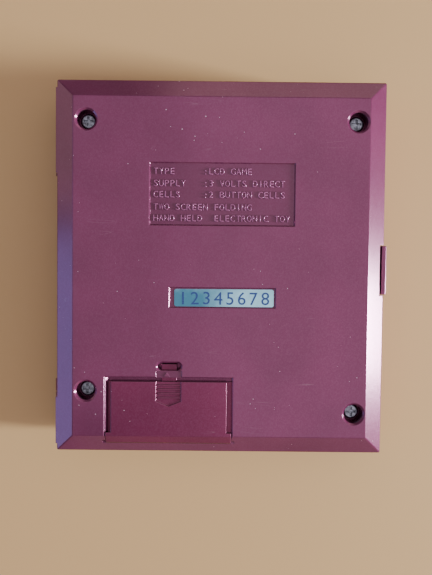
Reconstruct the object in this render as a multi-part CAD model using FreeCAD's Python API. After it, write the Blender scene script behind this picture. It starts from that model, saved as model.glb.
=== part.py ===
"""A two-screen handheld LCD game that folds shut like a book, built as separate pieces.

The row frame: +Z up, X across the case with the hinge at -X, Y along the hinge, millimetres. The game lies
closed on the front of its lid, with the battery door and the case screws facing up. The origin is the centre
of the lid's front face, so the lid fills z 0 to 11.5 and the base half fills z 11.5 to 23.

Both halves are modelled in one half frame, (x, y, depth), where depth 0 is the seam between the halves and
depth grows outwards to the outer face. place() puts a half-frame shape into the base, or mirrors it into the
lid, so the two screens and the two pairs of game buttons face each other when the case is shut.
"""

import FreeCAD, Part
import math
import os

Vector = FreeCAD.Vector

# ---- driving dimensions ---------------------------------------------------------------------------------
CASE_X = 75.0
CASE_Y = 85.0
HALF_DEPTH = 11.5
RIM_GAP = 0.15  # each half's rim stops this far short of the seam
BEVEL_IN = 4.15
BEVEL_DOWN = 3.1
WALL = 1.5
EDGE_RADIUS = 0.4
FIT = 0.1  # loose fit between a dropped-in piece and its pocket

# Depths of the stack inside each half, from the seam outwards.
BEZEL = (1.35, 3.35)
FACEPLATE_THICK = 0.3
FACEPLATE_X = (-33.5, 33.5)
FACEPLATE_Y = (-38.5, 38.5)
FACEPLATE_CORNER = 2.0
FRONT_PLATE_X = (-32.65, 32.65)
FRONT_PLATE_Y = (-37.65, 37.65)
FRONT_PLATE_CORNER = 1.45
FRONT_PLATE_GAP = 0.05
LENS_THICK = 1.0
LCD = (3.45, 5.25)
REFLECTOR = (5.3, 5.45)
BOARD = (7.1, 8.1)
INSIDE = HALF_DEPTH - WALL

BEVEL_FOOT = HALF_DEPTH - BEVEL_DOWN
BEVEL_SLOPE = BEVEL_DOWN / BEVEL_IN

# Screen, in plan.
WINDOW_X = (-24.5, 17.5)
WINDOW_Y = (-0.5, 30.5)
LENS_MARGIN = 1.0
GLASS_X = (-25.6, 18.6)
GLASS_Y = (-4.1, 34.1)
FRAME_RIM = 1.35

# Game buttons, in plan, the same on both halves.
GAME_BUTTONS = {"upper": (28.2, 17.0), "lower": (28.2, 0.0)}
GAME_CAP_RADIUS = 5.0
GAME_CAP_PROUD = 1.0
FLANGE_LIP = 0.8

# Mode buttons and the two pen-tip buttons, on the base only.
MODE_BUTTONS = {"game_a": (-22.0, -14.0), "game_b": (-11.0, -14.0), "time": (0.0, -14.0)}
MODE_CAP = (7.0, 3.4)
MODE_CAP_PROUD = 0.6
PIN_BUTTONS = {"alarm": (9.0, -14.0), "reset": (15.0, -14.0)}
PIN_RADIUS = 1.0

# Case screws, in plan.
BASE_SCREWS = [(-30.4, 33.1), (30.7, 33.1), (-30.4, -28.1), (30.6, -32.9)]
LID_SCREWS = [(-30.4, 33.1), (30.4, 33.1), (-30.4, -33.1), (30.4, -33.1)]
COUNTERBORE_RADIUS = 2.15
MOUTH = (0.45, 0.4)  # how far the counterbores' rims are cut back: sideways and in depth
LID_COUNTERBORE_RADIUS = 1.95
SCREW_SEAT = 7.0
SCREW_TIP = 3.9
SCREW_RADIUS = 1.0
SCREW_HEAD_RADIUS = 1.8
SCREW_HEAD = 1.3
BOARD_SCREW_RADIUS = 0.8
BOARD_SCREW_TIP = 4.6
BOARD_POSTS = [(-31.5, 14.0), (-31.5, -18.0), (22.8, 27.0), (22.8, -18.0)]

# Hinge: one station at each end of the -X edge.
HINGE_X = -37.75
KNUCKLE_RADIUS = 1.75
KNUCKLE_SWEEP = 2.0  # radius cleared in the other half round each knuckle
KNUCKLE_GAP = 0.3  # between the ends of two barrels
BASE_KNUCKLES = [(21.5, 31.0), (-41.0, -30.4)]
LID_KNUCKLES = [(31.3, 40.8), (-30.1, -27.2)]
HINGE_PADS = [(21.5, 40.8), (-41.0, -30.1)]  # where the base's edge stands out beside the hinge
PAD_PROUD = 0.35
BORE_CLEARANCE = 0.03
HINGE_PIN_RADIUS = 0.8
HINGE_PIN_Y = (-40.2, -27.9)
WASHER_RADIUS = 1.6
SLEEVE_RADIUS = 1.15
SLEEVE_BORE = 0.9
SLEEVE_Y = (24.5, 37.5)
FLEX_THICK = 0.2
FLEX_ROLL_RADIUS = 0.8
BASE_FLEX_Y = (22.5, 24.1)
LID_FLEX_Y = (37.8, 39.4)

# Finger tab of the lid, and the notch for it in the base's edge.
TAB_Y = (-5.75, 5.5)
TAB_X = (37.3, 38.45)
TAB_RISE = 7.4
NOTCH_X = 36.45

# Battery bay, door and the slot above the door, on the base.
CELL_RADIUS = 5.8
CELL_THICK = 5.4
CELL_Y = -32.9
CELL_X = (-17.6, -5.5)
CONTACT_THICK = 0.2
BAY_X = (-24.0, 0.9)
BAY_Y = (-39.0, -26.8)
BAY_FLOOR = INSIDE - CELL_THICK - CONTACT_THICK
BAY_FLOOR_THICK = 0.8
BAY_WALL = 0.9
RECESS_X = (-26.0, 2.9)
RECESS_TOP = -24.95
DOOR_X = (-24.65, 1.7)  # narrow part, between the two grooves
DOOR_TOP = -25.9
DOOR_SHOULDER = -37.6  # below here the door fills the whole recess
DOOR_FLOOR = INSIDE + 0.03
LINK_X = (CELL_X[0] - 3.0, CELL_X[1] + 3.0)
LINK_Y = (CELL_Y - 1.6, CELL_Y + 1.6)
LINK_THICK = 0.3
RAIL_REACH = 0.55
RAIL_THICK = 0.5
LEDGE = 1.2
RIM_BREAK = 0.25  # broken edges round the door recess and the slot
GRIP_X = (-14.4, -8.7)
GRIP_SHOULDER = -30.35
GRIP_TIP = -31.5
GRIP_DEPTH = 0.35
RIDGES = 4
RIDGE_FIRST_Y = -26.7
RIDGE_PITCH = 0.95
RIDGE_WIDE = 0.32
SLOT_X = (-14.0, -8.8)
SLOT_Y = (-23.3, -21.6)
SLOT_FLOOR = 8.9
SLOT_FLARE = 0.4  # how far the slot's rim is cut back, sideways and in depth
TONGUE_X = (-13.2, -9.7)  # the door's tongue, narrower than the slot over it
TONGUE_TOP = -21.95
TONGUE_THICK = 0.45
NECK_X = (-14.4, -8.5)
NECK_Y = (-25.1, -23.4)
NECK_DEPTH = 0.25
CATCH_X = -11.95
CATCH_Y = (-24.7, -23.7)
CATCH_HALF = 0.7
LIP_FOOT = INSIDE + 0.63  # the guide lip beside the door, just over its rail
LIP_REACH = 0.75

# Rating panel and number plate recesses in the back.
PANEL_X = (-15.9, 16.4)
PANEL_Y = (9.8, 23.5)
PANEL_DEPTH = 0.4
PLATE_RECESS_X = (-11.4, 12.35)
PLATE_RECESS_Y = (-8.8, -4.5)
PLATE_RECESS_DEPTH = 0.3
PLATE_X = (-10.4, 12.15)
PLATE_Y = (-8.68, -4.72)
PLATE_THICK = 0.12

DRAFT = 0.7  # slope of the recesses' walls, sideways per unit of depth

FAR = 60.0  # past the case on any side


# ---- small helpers --------------------------------------------------------------------------------------
def box(x, y, depth):
    """A block from three (low, high) pairs."""
    return Part.makeBox(x[1] - x[0], y[1] - y[0], depth[1] - depth[0], Vector(x[0], y[0], depth[0]))


def disc(centre, radius, depth):
    """A round bar along the depth axis."""
    base = Vector(centre[0], centre[1], depth[0])
    return Part.makeCylinder(radius, depth[1] - depth[0], base, Vector(0, 0, 1))


def bar_along_y(radius, y, x=HINGE_X):
    """A round bar along the hinge axis."""
    return Part.makeCylinder(radius, y[1] - y[0], Vector(x, y[0], 0), Vector(0, 1, 0))


def rounded(x, y, depth, radius):
    """A block whose four edges along the depth axis are rounded."""
    block = box(x, y, depth)
    return block.makeFillet(radius, [e for e in block.Edges if is_upright(e)])


def tapered(x, y, depth, spread):
    """A block whose plan is x by y at its low end, and larger by spread on every side at its high end."""
    rings = []
    for by, level in ((0, depth[0]), (spread, depth[1])):
        (x0, x1), (y0, y1) = grown(x, by), grown(y, by)
        rings.append([Vector(*c, level) for c in ((x0, y0), (x1, y0), (x1, y1), (x0, y1))])
    low, high = rings
    quads = [low[::-1], high]
    quads += [[low[i - 1], low[i], high[i], high[i - 1]] for i in range(4)]
    return Part.Solid(Part.Shell([Part.Face(Part.makePolygon(q + q[:1])) for q in quads]))


def pill(x, y, depth):
    """A block with two fully round ends, along its longer plan side."""
    if x[1] - x[0] > y[1] - y[0]:
        radius = (y[1] - y[0]) / 2
        middle = (y[0] + y[1]) / 2
        ends = [(x[0] + radius, middle), (x[1] - radius, middle)]
        core = box((x[0] + radius, x[1] - radius), y, depth)
    else:
        radius = (x[1] - x[0]) / 2
        middle = (x[0] + x[1]) / 2
        ends = [(middle, y[0] + radius), (middle, y[1] - radius)]
        core = box(x, (y[0] + radius, y[1] - radius), depth)
    return joined([core] + [disc(end, radius, depth) for end in ends])


def prism(outline, depth):
    """A solid with a straight-sided plan outline, as (x, y) points."""
    points = [Vector(x, y, depth[0]) for x, y in outline]
    face = Part.Face(Part.makePolygon(points + points[:1]))
    return face.extrude(Vector(0, 0, depth[1] - depth[0]))


def side_profile(outline, y):
    """A solid with a straight-sided outline of (x, depth) points, run along Y."""
    points = [Vector(x, y[0], depth) for x, depth in outline]
    face = Part.Face(Part.makePolygon(points + points[:1]))
    return face.extrude(Vector(0, y[1] - y[0], 0))


def is_upright(edge):
    """True for an edge that runs along the depth axis."""
    start, end = edge.Vertexes[0].Point, edge.Vertexes[-1].Point
    return abs(start.x - end.x) + abs(start.y - end.y) < 1e-6


def edges_at(shape, depth):
    """The edges that lie wholly at one depth."""
    return [e for e in shape.Edges if all(abs(v.Z - depth) < 1e-6 for v in e.Vertexes)]


def joined(shapes):
    """One solid from several that overlap or touch."""
    return shapes[0].multiFuse(shapes[1:]).removeSplitter()


def less(shape, tools):
    """A shape with the tools cut away."""
    return shape.cut(Part.makeCompound(tools))


def grown(pair, by):
    """A (low, high) pair moved outwards at both ends."""
    return (pair[0] - by, pair[1] + by)


def place(shape, half):
    """Moves a half-frame shape into the base, or mirrors it into the lid."""
    if half == "lid":
        shape = shape.mirror(Vector(0, 0, 0), Vector(0, 0, 1))
    return shape.translated(Vector(0, 0, HALF_DEPTH))


def save(name, shape, half):
    """Writes one node, given in the half frame."""
    placed = place(shape, half)
    placed.exportStep(os.path.join("parts", name + ".step"))
    if not placed.isValid() or not placed.Solids:
        print("problem:", name, "valid", placed.isValid(), "solids", len(placed.Solids))


def group(shapes):
    """Several separate solids that share one node."""
    return Part.makeCompound([solid for shape in shapes for solid in shape.Solids])


# ---- outer shells ---------------------------------------------------------------------------------------
def outer_block():
    """The outside of a half: a block with a mitred bevel and slightly rounded edges."""
    x, y = (-CASE_X / 2, CASE_X / 2), (-CASE_Y / 2, CASE_Y / 2)
    walls = box(x, y, (RIM_GAP, BEVEL_FOOT))
    block = joined([walls, tapered(x, y, (BEVEL_FOOT, HALF_DEPTH), -BEVEL_IN)])
    rim = edges_at(block, RIM_GAP)
    soft = [e for e in block.Edges if not any(e.isSame(r) for r in rim)]
    return block.makeFillet(EDGE_RADIUS, soft)


def cavity():
    """The hollow of a half, with walls of one thickness behind the bevel too."""
    x = grown((-CASE_X / 2, CASE_X / 2), -WALL)
    y = grown((-CASE_Y / 2, CASE_Y / 2), -WALL)
    slant = math.hypot(BEVEL_IN, BEVEL_DOWN)
    foot = BEVEL_FOOT + WALL * (BEVEL_DOWN - slant) / BEVEL_IN  # where the inner bevel starts
    inset = (INSIDE - foot) / BEVEL_SLOPE
    return joined([box(x, y, (-1.0, foot)), tapered(x, y, (foot, INSIDE), -inset)])


def knuckles(stations, sweep=False):
    """The hinge barrels of a half, or the room that they need in the other half."""
    if sweep:
        return [bar_along_y(KNUCKLE_SWEEP, grown(y, KNUCKLE_GAP)) for y in stations]
    return [bar_along_y(KNUCKLE_RADIUS, y) for y in stations]


def hinge_pads():
    """The strips of the base's edge that stand out beside the hinge, in line with the bevel."""
    inner, outer = -CASE_X / 2 + WALL, -CASE_X / 2 - PAD_PROUD
    outline = [
        (inner, RIM_GAP),
        (outer, RIM_GAP),
        (outer, BEVEL_FOOT - PAD_PROUD * BEVEL_SLOPE),
        (inner, BEVEL_FOOT + WALL * BEVEL_SLOPE),
    ]
    return [side_profile(outline, y) for y in HINGE_PADS]


def hinge_bores():
    """What the bottom pin, the top sleeve and the rolled ribbon need inside the barrels."""
    pin = bar_along_y(HINGE_PIN_RADIUS + BORE_CLEARANCE, grown(HINGE_PIN_Y, 0.1))
    sleeve = bar_along_y(SLEEVE_RADIUS + BORE_CLEARANCE, grown(SLEEVE_Y, 0.1))
    ribbon = bar_along_y(SLEEVE_BORE + 0.05, (BASE_FLEX_Y[0] - 0.4, LID_FLEX_Y[1] + 0.4))
    return [pin, sleeve, ribbon]


def ribbon_slot(y):
    """The way from a hollow barrel into its own half, for the ribbon cable."""
    return box((HINGE_X, -34.4), y, (-0.1, 1.0)).fuse(box((-35.95, -34.4), y, (0.5, 4.0)))


def drafted_recess(x, y, depth):
    """The tool for a shallow recess in the outer face, with sloping walls; x and y are those of its floor."""
    floor = HALF_DEPTH - depth
    return tapered(x, y, (floor, HALF_DEPTH + depth), 2 * depth * DRAFT)


def screw_tubes(screws, counterbore):
    """Tubes that carry the case screws, and what is cut through them."""
    tubes = [disc(c, counterbore + 0.9, (SCREW_SEAT - 0.8, INSIDE + 0.2)) for c in screws]
    cuts = [disc(c, counterbore, (SCREW_SEAT, FAR)) for c in screws]
    cuts += [disc(c, SCREW_RADIUS + 0.15, (0, FAR)) for c in screws]
    return tubes, cuts


def softened_mouths(screws, counterbore):
    """Small cones that break the sharp rims of the counterbores."""
    wider, depth = MOUTH
    return [
        Part.makeCone(counterbore, counterbore + wider, depth, Vector(x, y, HALF_DEPTH - depth))
        for x, y in screws
    ]


def bay_structure():
    """Walls, floor and door ledge of the battery bay, as one solid added inside the shell."""
    depth = (BAY_FLOOR - BAY_FLOOR_THICK, INSIDE)
    walls = box(grown(BAY_X, BAY_WALL), grown(BAY_Y, BAY_WALL), depth)
    ledge = box(grown(RECESS_X, 1.7), (-41.2, -20.0), (INSIDE - LEDGE, INSIDE + 0.1))
    return joined([walls, ledge]).common(outer_block())


def door_cuts():
    """Everything cut out of the shell for the battery door, its rails, tongue and grip slot."""
    below = -FAR
    recess = box(RECESS_X, (below, RECESS_TOP), (INSIDE, FAR))
    rim = tapered(RECESS_X, (below, RECESS_TOP), (HALF_DEPTH - RIM_BREAK, HALF_DEPTH + 1), RIM_BREAK + 1)
    rails = box(grown(RECESS_X, RAIL_REACH + FIT), (below, RECESS_TOP), (INSIDE, INSIDE + RAIL_THICK + FIT))
    pocket = box(BAY_X, BAY_Y, (BAY_FLOOR, FAR))
    tongue = box(grown(SLOT_X, 0.6), (RECESS_TOP - 0.05, -20.9), (INSIDE - 0.1, INSIDE + TONGUE_THICK + FIT))
    slot = pill(SLOT_X, SLOT_Y, (SLOT_FLOOR, FAR))
    neck = box(NECK_X, NECK_Y, (HALF_DEPTH - NECK_DEPTH, FAR))
    return [recess, rim, rails, pocket, tongue, slot, neck] + flared_rim()


def flared_rim():
    """The sloping cut round the slot's rim: two cones and the straight piece between them."""
    radius = (SLOT_Y[1] - SLOT_Y[0]) / 2
    middle = sum(SLOT_Y) / 2
    ends = [SLOT_X[0] + radius, SLOT_X[1] - radius]
    foot, head = HALF_DEPTH - SLOT_FLARE, HALF_DEPTH + SLOT_FLARE
    wide = radius + 2 * SLOT_FLARE
    cones = [Part.makeCone(radius, wide, head - foot, Vector(x, middle, foot)) for x in ends]
    section = [(-radius, foot), (radius, foot), (wide, head), (-wide, head)]
    corners = [Vector(ends[0], middle + y, w) for y, w in section]
    face = Part.Face(Part.makePolygon(corners + corners[:1]))
    return cones + [face.extrude(Vector(ends[1] - ends[0], 0, 0))]


def guide_lip():
    """The sloping lip over the door's left rail, from the recess's wall down towards the door."""
    wall = RECESS_X[0] - 0.05
    section = [(wall, LIP_FOOT), (wall + LIP_REACH, LIP_FOOT), (wall, LIP_FOOT + LIP_REACH)]
    return side_profile(section, (DOOR_SHOULDER + FIT, RECESS_TOP + 0.05))


def catch_bump():
    """The small moulded wedge on the neck between the slot and the door."""
    low, high = CATCH_Y
    outline = [(CATCH_X - CATCH_HALF, low), (CATCH_X + CATCH_HALF, low), (CATCH_X, high)]
    return prism(outline, (HALF_DEPTH - 2 * NECK_DEPTH, HALF_DEPTH - 0.05))


def base_rear_shell():
    """The back casing: screws, rating panel, number plate recess, battery bay and its half of the hinge."""
    tubes, screw_cuts = screw_tubes(BASE_SCREWS, COUNTERBORE_RADIUS)
    body = outer_block().cut(cavity())
    body = joined([body, bay_structure()] + hinge_pads() + tubes)
    body = less(body, knuckles(LID_KNUCKLES, sweep=True))
    body = joined([body] + knuckles(BASE_KNUCKLES))
    cuts = screw_cuts + softened_mouths(BASE_SCREWS, COUNTERBORE_RADIUS) + door_cuts() + hinge_bores()
    cuts += [
        drafted_recess(PANEL_X, PANEL_Y, PANEL_DEPTH),
        drafted_recess(PLATE_RECESS_X, PLATE_RECESS_Y, PLATE_RECESS_DEPTH),
        box((NOTCH_X, FAR), grown(TAB_Y, 0.15), (-1, FAR)),
        ribbon_slot(grown(BASE_FLEX_Y, 0.15)),
    ]
    body = less(body, cuts)
    return joined([body, guide_lip(), catch_bump()])


def lid_front_shell():
    """The front casing: a shallow pocket for the metal plate, blind screw tubes and its half of the hinge."""
    tubes, screw_cuts = screw_tubes(LID_SCREWS, LID_COUNTERBORE_RADIUS)
    body = joined([outer_block().cut(cavity())] + tubes)
    body = less(body, knuckles(BASE_KNUCKLES, sweep=True))
    body = joined([body] + knuckles(LID_KNUCKLES))
    cuts = screw_cuts + hinge_bores()
    cuts += [
        rounded(
            grown(FRONT_PLATE_X, FRONT_PLATE_GAP),
            grown(FRONT_PLATE_Y, FRONT_PLATE_GAP),
            (HALF_DEPTH - FACEPLATE_THICK, FAR),
            FRONT_PLATE_CORNER + FRONT_PLATE_GAP,
        ),
        box((NOTCH_X, FAR), grown(TAB_Y, 0.05), (-1, 4.0)),
        ribbon_slot(grown(LID_FLEX_Y, 0.15)),
    ]
    return less(body, cuts)


def lid_front_plate():
    """The thin metal plate glued into the lid's front, over the screws."""
    depth = (HALF_DEPTH - FACEPLATE_THICK, HALF_DEPTH)
    return rounded(FRONT_PLATE_X, FRONT_PLATE_Y, depth, FRONT_PLATE_CORNER)


def lid_catch():
    """The finger tab that stands up from the lid's free edge into the notch of the base."""
    root = box((NOTCH_X + 0.05, TAB_X[1]), TAB_Y, (0.2, 3.95))
    tongue = box(TAB_X, TAB_Y, (-TAB_RISE, 0.5))
    tab = joined([root, tongue])
    soft = [e for e in tab.Edges if all(abs(v.X - TAB_X[1]) < 1e-6 for v in e.Vertexes)]
    return tab.makeFillet(0.4, soft)


# ---- inner plates, screens and boards -------------------------------------------------------------------
def button_openings(half, clearance, depth):
    """Holes for every button of a half, at one clearance, over a depth range."""
    holes = [disc(c, GAME_CAP_RADIUS + clearance, depth) for c in GAME_BUTTONS.values()]
    if half == "base":
        for x, y in MODE_BUTTONS.values():
            plan_x = grown((x - MODE_CAP[0] / 2, x + MODE_CAP[0] / 2), clearance)
            plan_y = grown((y - MODE_CAP[1] / 2, y + MODE_CAP[1] / 2), clearance)
            holes.append(pill(plan_x, plan_y, depth))
        holes += [disc(c, PIN_RADIUS + clearance, depth) for c in PIN_BUTTONS.values()]
    return holes


def bezel(half, screws):
    """The inner plate of a half, with recesses for faceplate and lens, and posts for the screws."""
    x_half, y_half = CASE_X / 2 - WALL - FIT, CASE_Y / 2 - WALL - FIT
    plate = box((-x_half, x_half), (-y_half, y_half), BEZEL)
    bosses = [disc(c, 2.6, (BEZEL[1] - 0.2, SCREW_SEAT - 0.85)) for c in screws]
    posts = [disc(c, 1.9, (BEZEL[1] - 0.2, BOARD[0])) for c in BOARD_POSTS]
    body = joined([plate] + bosses + posts)
    faceplate_back = BEZEL[0] + FACEPLATE_THICK
    lens_back = faceplate_back + LENS_THICK
    cuts = button_openings(half, 0.15, (0, BEZEL[1] + 0.1))
    cuts += [disc(c, SCREW_RADIUS + 0.02, (SCREW_TIP - 0.3, FAR)) for c in screws]
    cuts += [disc(c, BOARD_SCREW_RADIUS + 0.02, (BOARD_SCREW_TIP - 0.2, FAR)) for c in BOARD_POSTS]
    cuts += [
        rounded(
            grown(FACEPLATE_X, FIT), grown(FACEPLATE_Y, FIT), (0, faceplate_back), FACEPLATE_CORNER + FIT
        ),
        box(grown(WINDOW_X, LENS_MARGIN + FIT), grown(WINDOW_Y, LENS_MARGIN + FIT), (0, lens_back)),
        box(WINDOW_X, WINDOW_Y, (0, 9)),
        box((-36.5, -34.4), grown(BASE_FLEX_Y if half == "base" else LID_FLEX_Y, 0.2), (0, 9)),
    ]
    cuts += knuckles(BASE_KNUCKLES + LID_KNUCKLES, sweep=True)
    return less(body, cuts)


def faceplate(half):
    """The brushed metal trim on the inner face, open at the window and at each button."""
    depth = (BEZEL[0], BEZEL[0] + FACEPLATE_THICK)
    plate = rounded(FACEPLATE_X, FACEPLATE_Y, depth, FACEPLATE_CORNER)
    openings = button_openings(half, 0.5, (0, 9))
    openings.append(rounded(WINDOW_X, WINDOW_Y, (0, 9), 0.8))
    return less(plate, openings)


def window_lens():
    """The clear acrylic lens held under the faceplate."""
    front = BEZEL[0] + FACEPLATE_THICK
    return box(grown(WINDOW_X, LENS_MARGIN), grown(WINDOW_Y, LENS_MARGIN), (front, front + LENS_THICK))


def lcd_glass():
    """The liquid crystal panel: a wide rear glass and a narrower front glass, bonded."""
    middle = (LCD[0] + LCD[1]) / 2
    front = box(GLASS_X, (GLASS_Y[0] + 2.1, GLASS_Y[1] - 2.1), (LCD[0], middle))
    rear = box(GLASS_X, GLASS_Y, (middle, LCD[1]))
    return joined([front, rear])


def lcd_frame():
    """The black holder round the panel, from the inner plate to the board."""
    outer = box(grown(GLASS_X, FRAME_RIM), grown(GLASS_Y, FRAME_RIM), (BEZEL[1] + 0.05, BOARD[0] - 0.05))
    inner = box(grown(GLASS_X, 0.05), grown(GLASS_Y, 0.05), (0, 9))
    return outer.cut(inner)


def reflector():
    """The silvery sheet behind the panel, between the two connector strips."""
    return box(GLASS_X, (GLASS_Y[0] + 2.3, GLASS_Y[1] - 2.3), REFLECTOR)


def connector_strips():
    """The two rubber strips that join the panel's edges to the board."""
    depth = (LCD[1], BOARD[0])
    x = (GLASS_X[0] + 0.6, GLASS_X[1] - 0.6)
    low = box(x, (GLASS_Y[0] + 0.1, GLASS_Y[0] + 2.1), depth)
    high = box(x, (GLASS_Y[1] - 2.1, GLASS_Y[1] - 0.1), depth)
    return group([low, high])


def outward(centre, clear):
    """The (low, high) pair from just inside a screw's place to past the case's edge on its side."""
    side = 1 if centre > 0 else -1
    return sorted((centre - side * clear, side * FAR))


def board(screws, low_y):
    """A circuit board with square notches round the case screws and holes over the posts."""
    plate = box((-34.0, 34.0), (low_y, 38.5), BOARD)
    clear = COUNTERBORE_RADIUS + 1.3
    cuts = [box(outward(x, clear), outward(y, clear), (0, FAR)) for x, y in screws]
    cuts += [disc(c, BOARD_SCREW_RADIUS + 0.1, (0, FAR)) for c in BOARD_POSTS]
    return less(plate, cuts)


def cross_screw(centre, seat, tip, radius, head_radius, head):
    """A pan-head screw with a cross recess; it points towards the seam."""
    top = disc(centre, head_radius, (seat, seat + head))
    top = top.makeFillet(head * 0.4, [e for e in edges_at(top, seat + head) if e.Length > head_radius * 4])
    shank = disc(centre, radius, (tip, seat + 0.1))
    x, y = centre
    arm, slot = head_radius * 0.6, head_radius * 0.14
    recess = (seat + head * 0.45, seat + head + 1)
    cross = [
        box((x - arm, x + arm), (y - slot, y + slot), recess),
        box((x - slot, x + slot), (y - arm, y + arm), recess),
    ]
    return less(joined([top, shank]), cross)


def case_screws(screws):
    """The four screws that draw a shell and its inner plate together."""
    return group(
        [
            cross_screw(c, SCREW_SEAT, SCREW_TIP, SCREW_RADIUS, SCREW_HEAD_RADIUS, SCREW_HEAD)
            for c in screws
        ]
    )


def board_screws():
    """The four small screws that hold a board to the posts of its inner plate."""
    return group(
        [cross_screw(c, BOARD[1], BOARD_SCREW_TIP, BOARD_SCREW_RADIUS, 1.5, 0.9) for c in BOARD_POSTS]
    )


# ---- buttons --------------------------------------------------------------------------------------------
CAP_FOOT = 5.2


def game_button(centre):
    """A round cap with a soft crown, and the flange that keeps it behind the inner plate."""
    top = BEZEL[0] - GAME_CAP_PROUD
    cap = disc(centre, GAME_CAP_RADIUS, (top, CAP_FOOT))
    cap = cap.makeFillet(0.7, [e for e in edges_at(cap, top) if e.Length > GAME_CAP_RADIUS * 4])
    flange = disc(centre, GAME_CAP_RADIUS + FLANGE_LIP, (BEZEL[1] + 0.05, BEZEL[1] + 1.05))
    return joined([cap, flange])


def game_dome(centre):
    """The rubber cup under a game button, standing on the board."""
    outer = Part.makeCone(2.6, 4.4, BOARD[0] - CAP_FOOT, Vector(centre[0], centre[1], CAP_FOOT))
    hollow = Part.makeCone(1.4, 3.4, BOARD[0] - CAP_FOOT - 0.8, Vector(centre[0], centre[1], CAP_FOOT + 0.8))
    return outer.cut(hollow)


def mode_button(centre):
    """A small pill-shaped cap with its flange."""
    x, y = centre
    half_x, half_y = MODE_CAP[0] / 2, MODE_CAP[1] / 2
    cap = pill((x - half_x, x + half_x), (y - half_y, y + half_y), (BEZEL[0] - MODE_CAP_PROUD, CAP_FOOT))
    lip = 0.5
    flange_x = (x - half_x - lip, x + half_x + lip)
    flange_y = (y - half_y - lip, y + half_y + lip)
    flange = pill(flange_x, flange_y, (BEZEL[1] + 0.05, BEZEL[1] + 0.85))
    return joined([cap, flange])


def mode_dome(centre):
    """The rubber block with a hollow foot under a mode button."""
    x, y = centre
    block = pill((x - 2.4, x + 2.4), (y - 1.4, y + 1.4), (CAP_FOOT, BOARD[0]))
    hollow = pill((x - 1.6, x + 1.6), (y - 0.7, y + 0.7), (CAP_FOOT + 0.9, BOARD[0] + 1))
    return block.cut(hollow)


def pin_button(centre):
    """A pen-tip button, just under the surface of the trim."""
    stem = disc(centre, PIN_RADIUS, (BEZEL[0] + 0.15, 6.0))
    flange = disc(centre, PIN_RADIUS + 0.6, (BEZEL[1] + 0.05, BEZEL[1] + 0.65))
    dimple = Part.makeCone(0.45, 0.05, 0.35, Vector(centre[0], centre[1], BEZEL[0] + 0.15))
    return joined([stem, flange]).cut(dimple)


# ---- electronics of the base ----------------------------------------------------------------------------
CHIP_CENTRE = (6.0, 16.0)
CHIP_SIDE = 12.0
BUZZER_CENTRE = (-17.0, 14.0)


def processor_chip():
    """The flat game processor with a row of gull-wing leads on each side."""
    x, y = CHIP_CENTRE
    half = CHIP_SIDE / 2
    body = box((x - half, x + half), (y - half, y + half), (BOARD[1] + 0.15, BOARD[1] + 1.5))
    body = body.makeChamfer(0.3, edges_at(body, BOARD[1] + 1.5))
    leads = []
    per_side, pitch, lead_half = 12, 0.8, 0.16
    for i in range(per_side):
        along = (i - (per_side - 1) / 2) * pitch
        near, far = half - 0.3, half + 1.3
        foot, knee = (BOARD[1], BOARD[1] + 0.2), (BOARD[1], BOARD[1] + 0.75)
        for side in (-1, 1):
            reach = sorted((side * near, side * far))
            knee_reach = sorted((side * near, side * (half + 0.35)))
            span_x = (x + along - lead_half, x + along + lead_half)
            span_y = (y + along - lead_half, y + along + lead_half)
            leads.append(box(span_x, (y + reach[0], y + reach[1]), foot))
            leads.append(box(span_x, (y + knee_reach[0], y + knee_reach[1]), knee))
            leads.append(box((x + reach[0], x + reach[1]), span_y, foot))
            leads.append(box((x + knee_reach[0], x + knee_reach[1]), span_y, knee))
    return joined([body] + leads)


def timing_crystal():
    """The small can of the clock crystal, lying on the board with its two wires bent down to it."""
    radius, length = 0.8, 5.0
    x, y = 20.0, 6.0
    depth = BOARD[1] + radius
    can = Part.makeCylinder(radius, length, Vector(x, y, depth), Vector(1, 0, 0))
    wires = []
    for side in (-0.35, 0.35):
        across = (y + side - 0.12, y + side + 0.12)
        wires.append(box((x - 1.6, x + 0.2), across, (depth - 0.12, depth + 0.12)))
        wires.append(box((x - 1.6, x - 1.35), across, (BOARD[1], depth + 0.12)))
    return joined([can] + wires)


def board_components():
    """Chip capacitors and resistors in two rows on the board."""
    places = [(16.5, 22.0), (16.5, 18.5), (16.5, 15.0), (-4.0, -6.0), (0.0, -6.0), (4.0, -6.0), (8.0, -6.0)]
    return group([box((x - 1.0, x + 1.0), (y - 0.6, y + 0.6), (BOARD[1], BOARD[1] + 0.7)) for x, y in places])


def buzzer_disc():
    """The piezo sounder: a brass disc glued to the back shell, with its ceramic disc."""
    brass = disc(BUZZER_CENTRE, 10.0, (INSIDE - 0.3, INSIDE - 0.02))
    ceramic = disc(BUZZER_CENTRE, 7.0, (INSIDE - 0.5, INSIDE - 0.3))
    return joined([brass, ceramic])


def buzzer_contacts():
    """Two bent leaf springs from the board, one to the brass and one to the ceramic."""
    thick = 0.2
    foot, leaves = BOARD[1], []
    for reach, width_y in ((INSIDE - 0.5, (13.2, 14.8)), (INSIDE - 0.3, (21.5, 23.1))):
        x = BUZZER_CENTRE[0] - 2.0
        top = reach - thick
        outline = [
            (x - 3, foot),
            (x, foot),
            (x + 3, top),
            (x + 5, top),
            (x + 5, top + thick),
            (x + 2.9, top + thick),
            (x - 0.1, foot + thick),
            (x - 3, foot + thick),
        ]
        leaves.append(side_profile(outline, width_y))
    return group(leaves)


def battery_cell(x):
    """A button cell: a wide can with a slightly smaller cap on its inner side."""
    foot, top = INSIDE - CELL_THICK, INSIDE
    can = disc((x, CELL_Y), CELL_RADIUS, (foot + 0.6, top))
    can = can.makeFillet(0.4, [e for e in edges_at(can, top) if e.Length > CELL_RADIUS * 4])
    cap = disc((x, CELL_Y), CELL_RADIUS - 0.9, (foot, foot + 0.7))
    return joined([can, cap])


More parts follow.
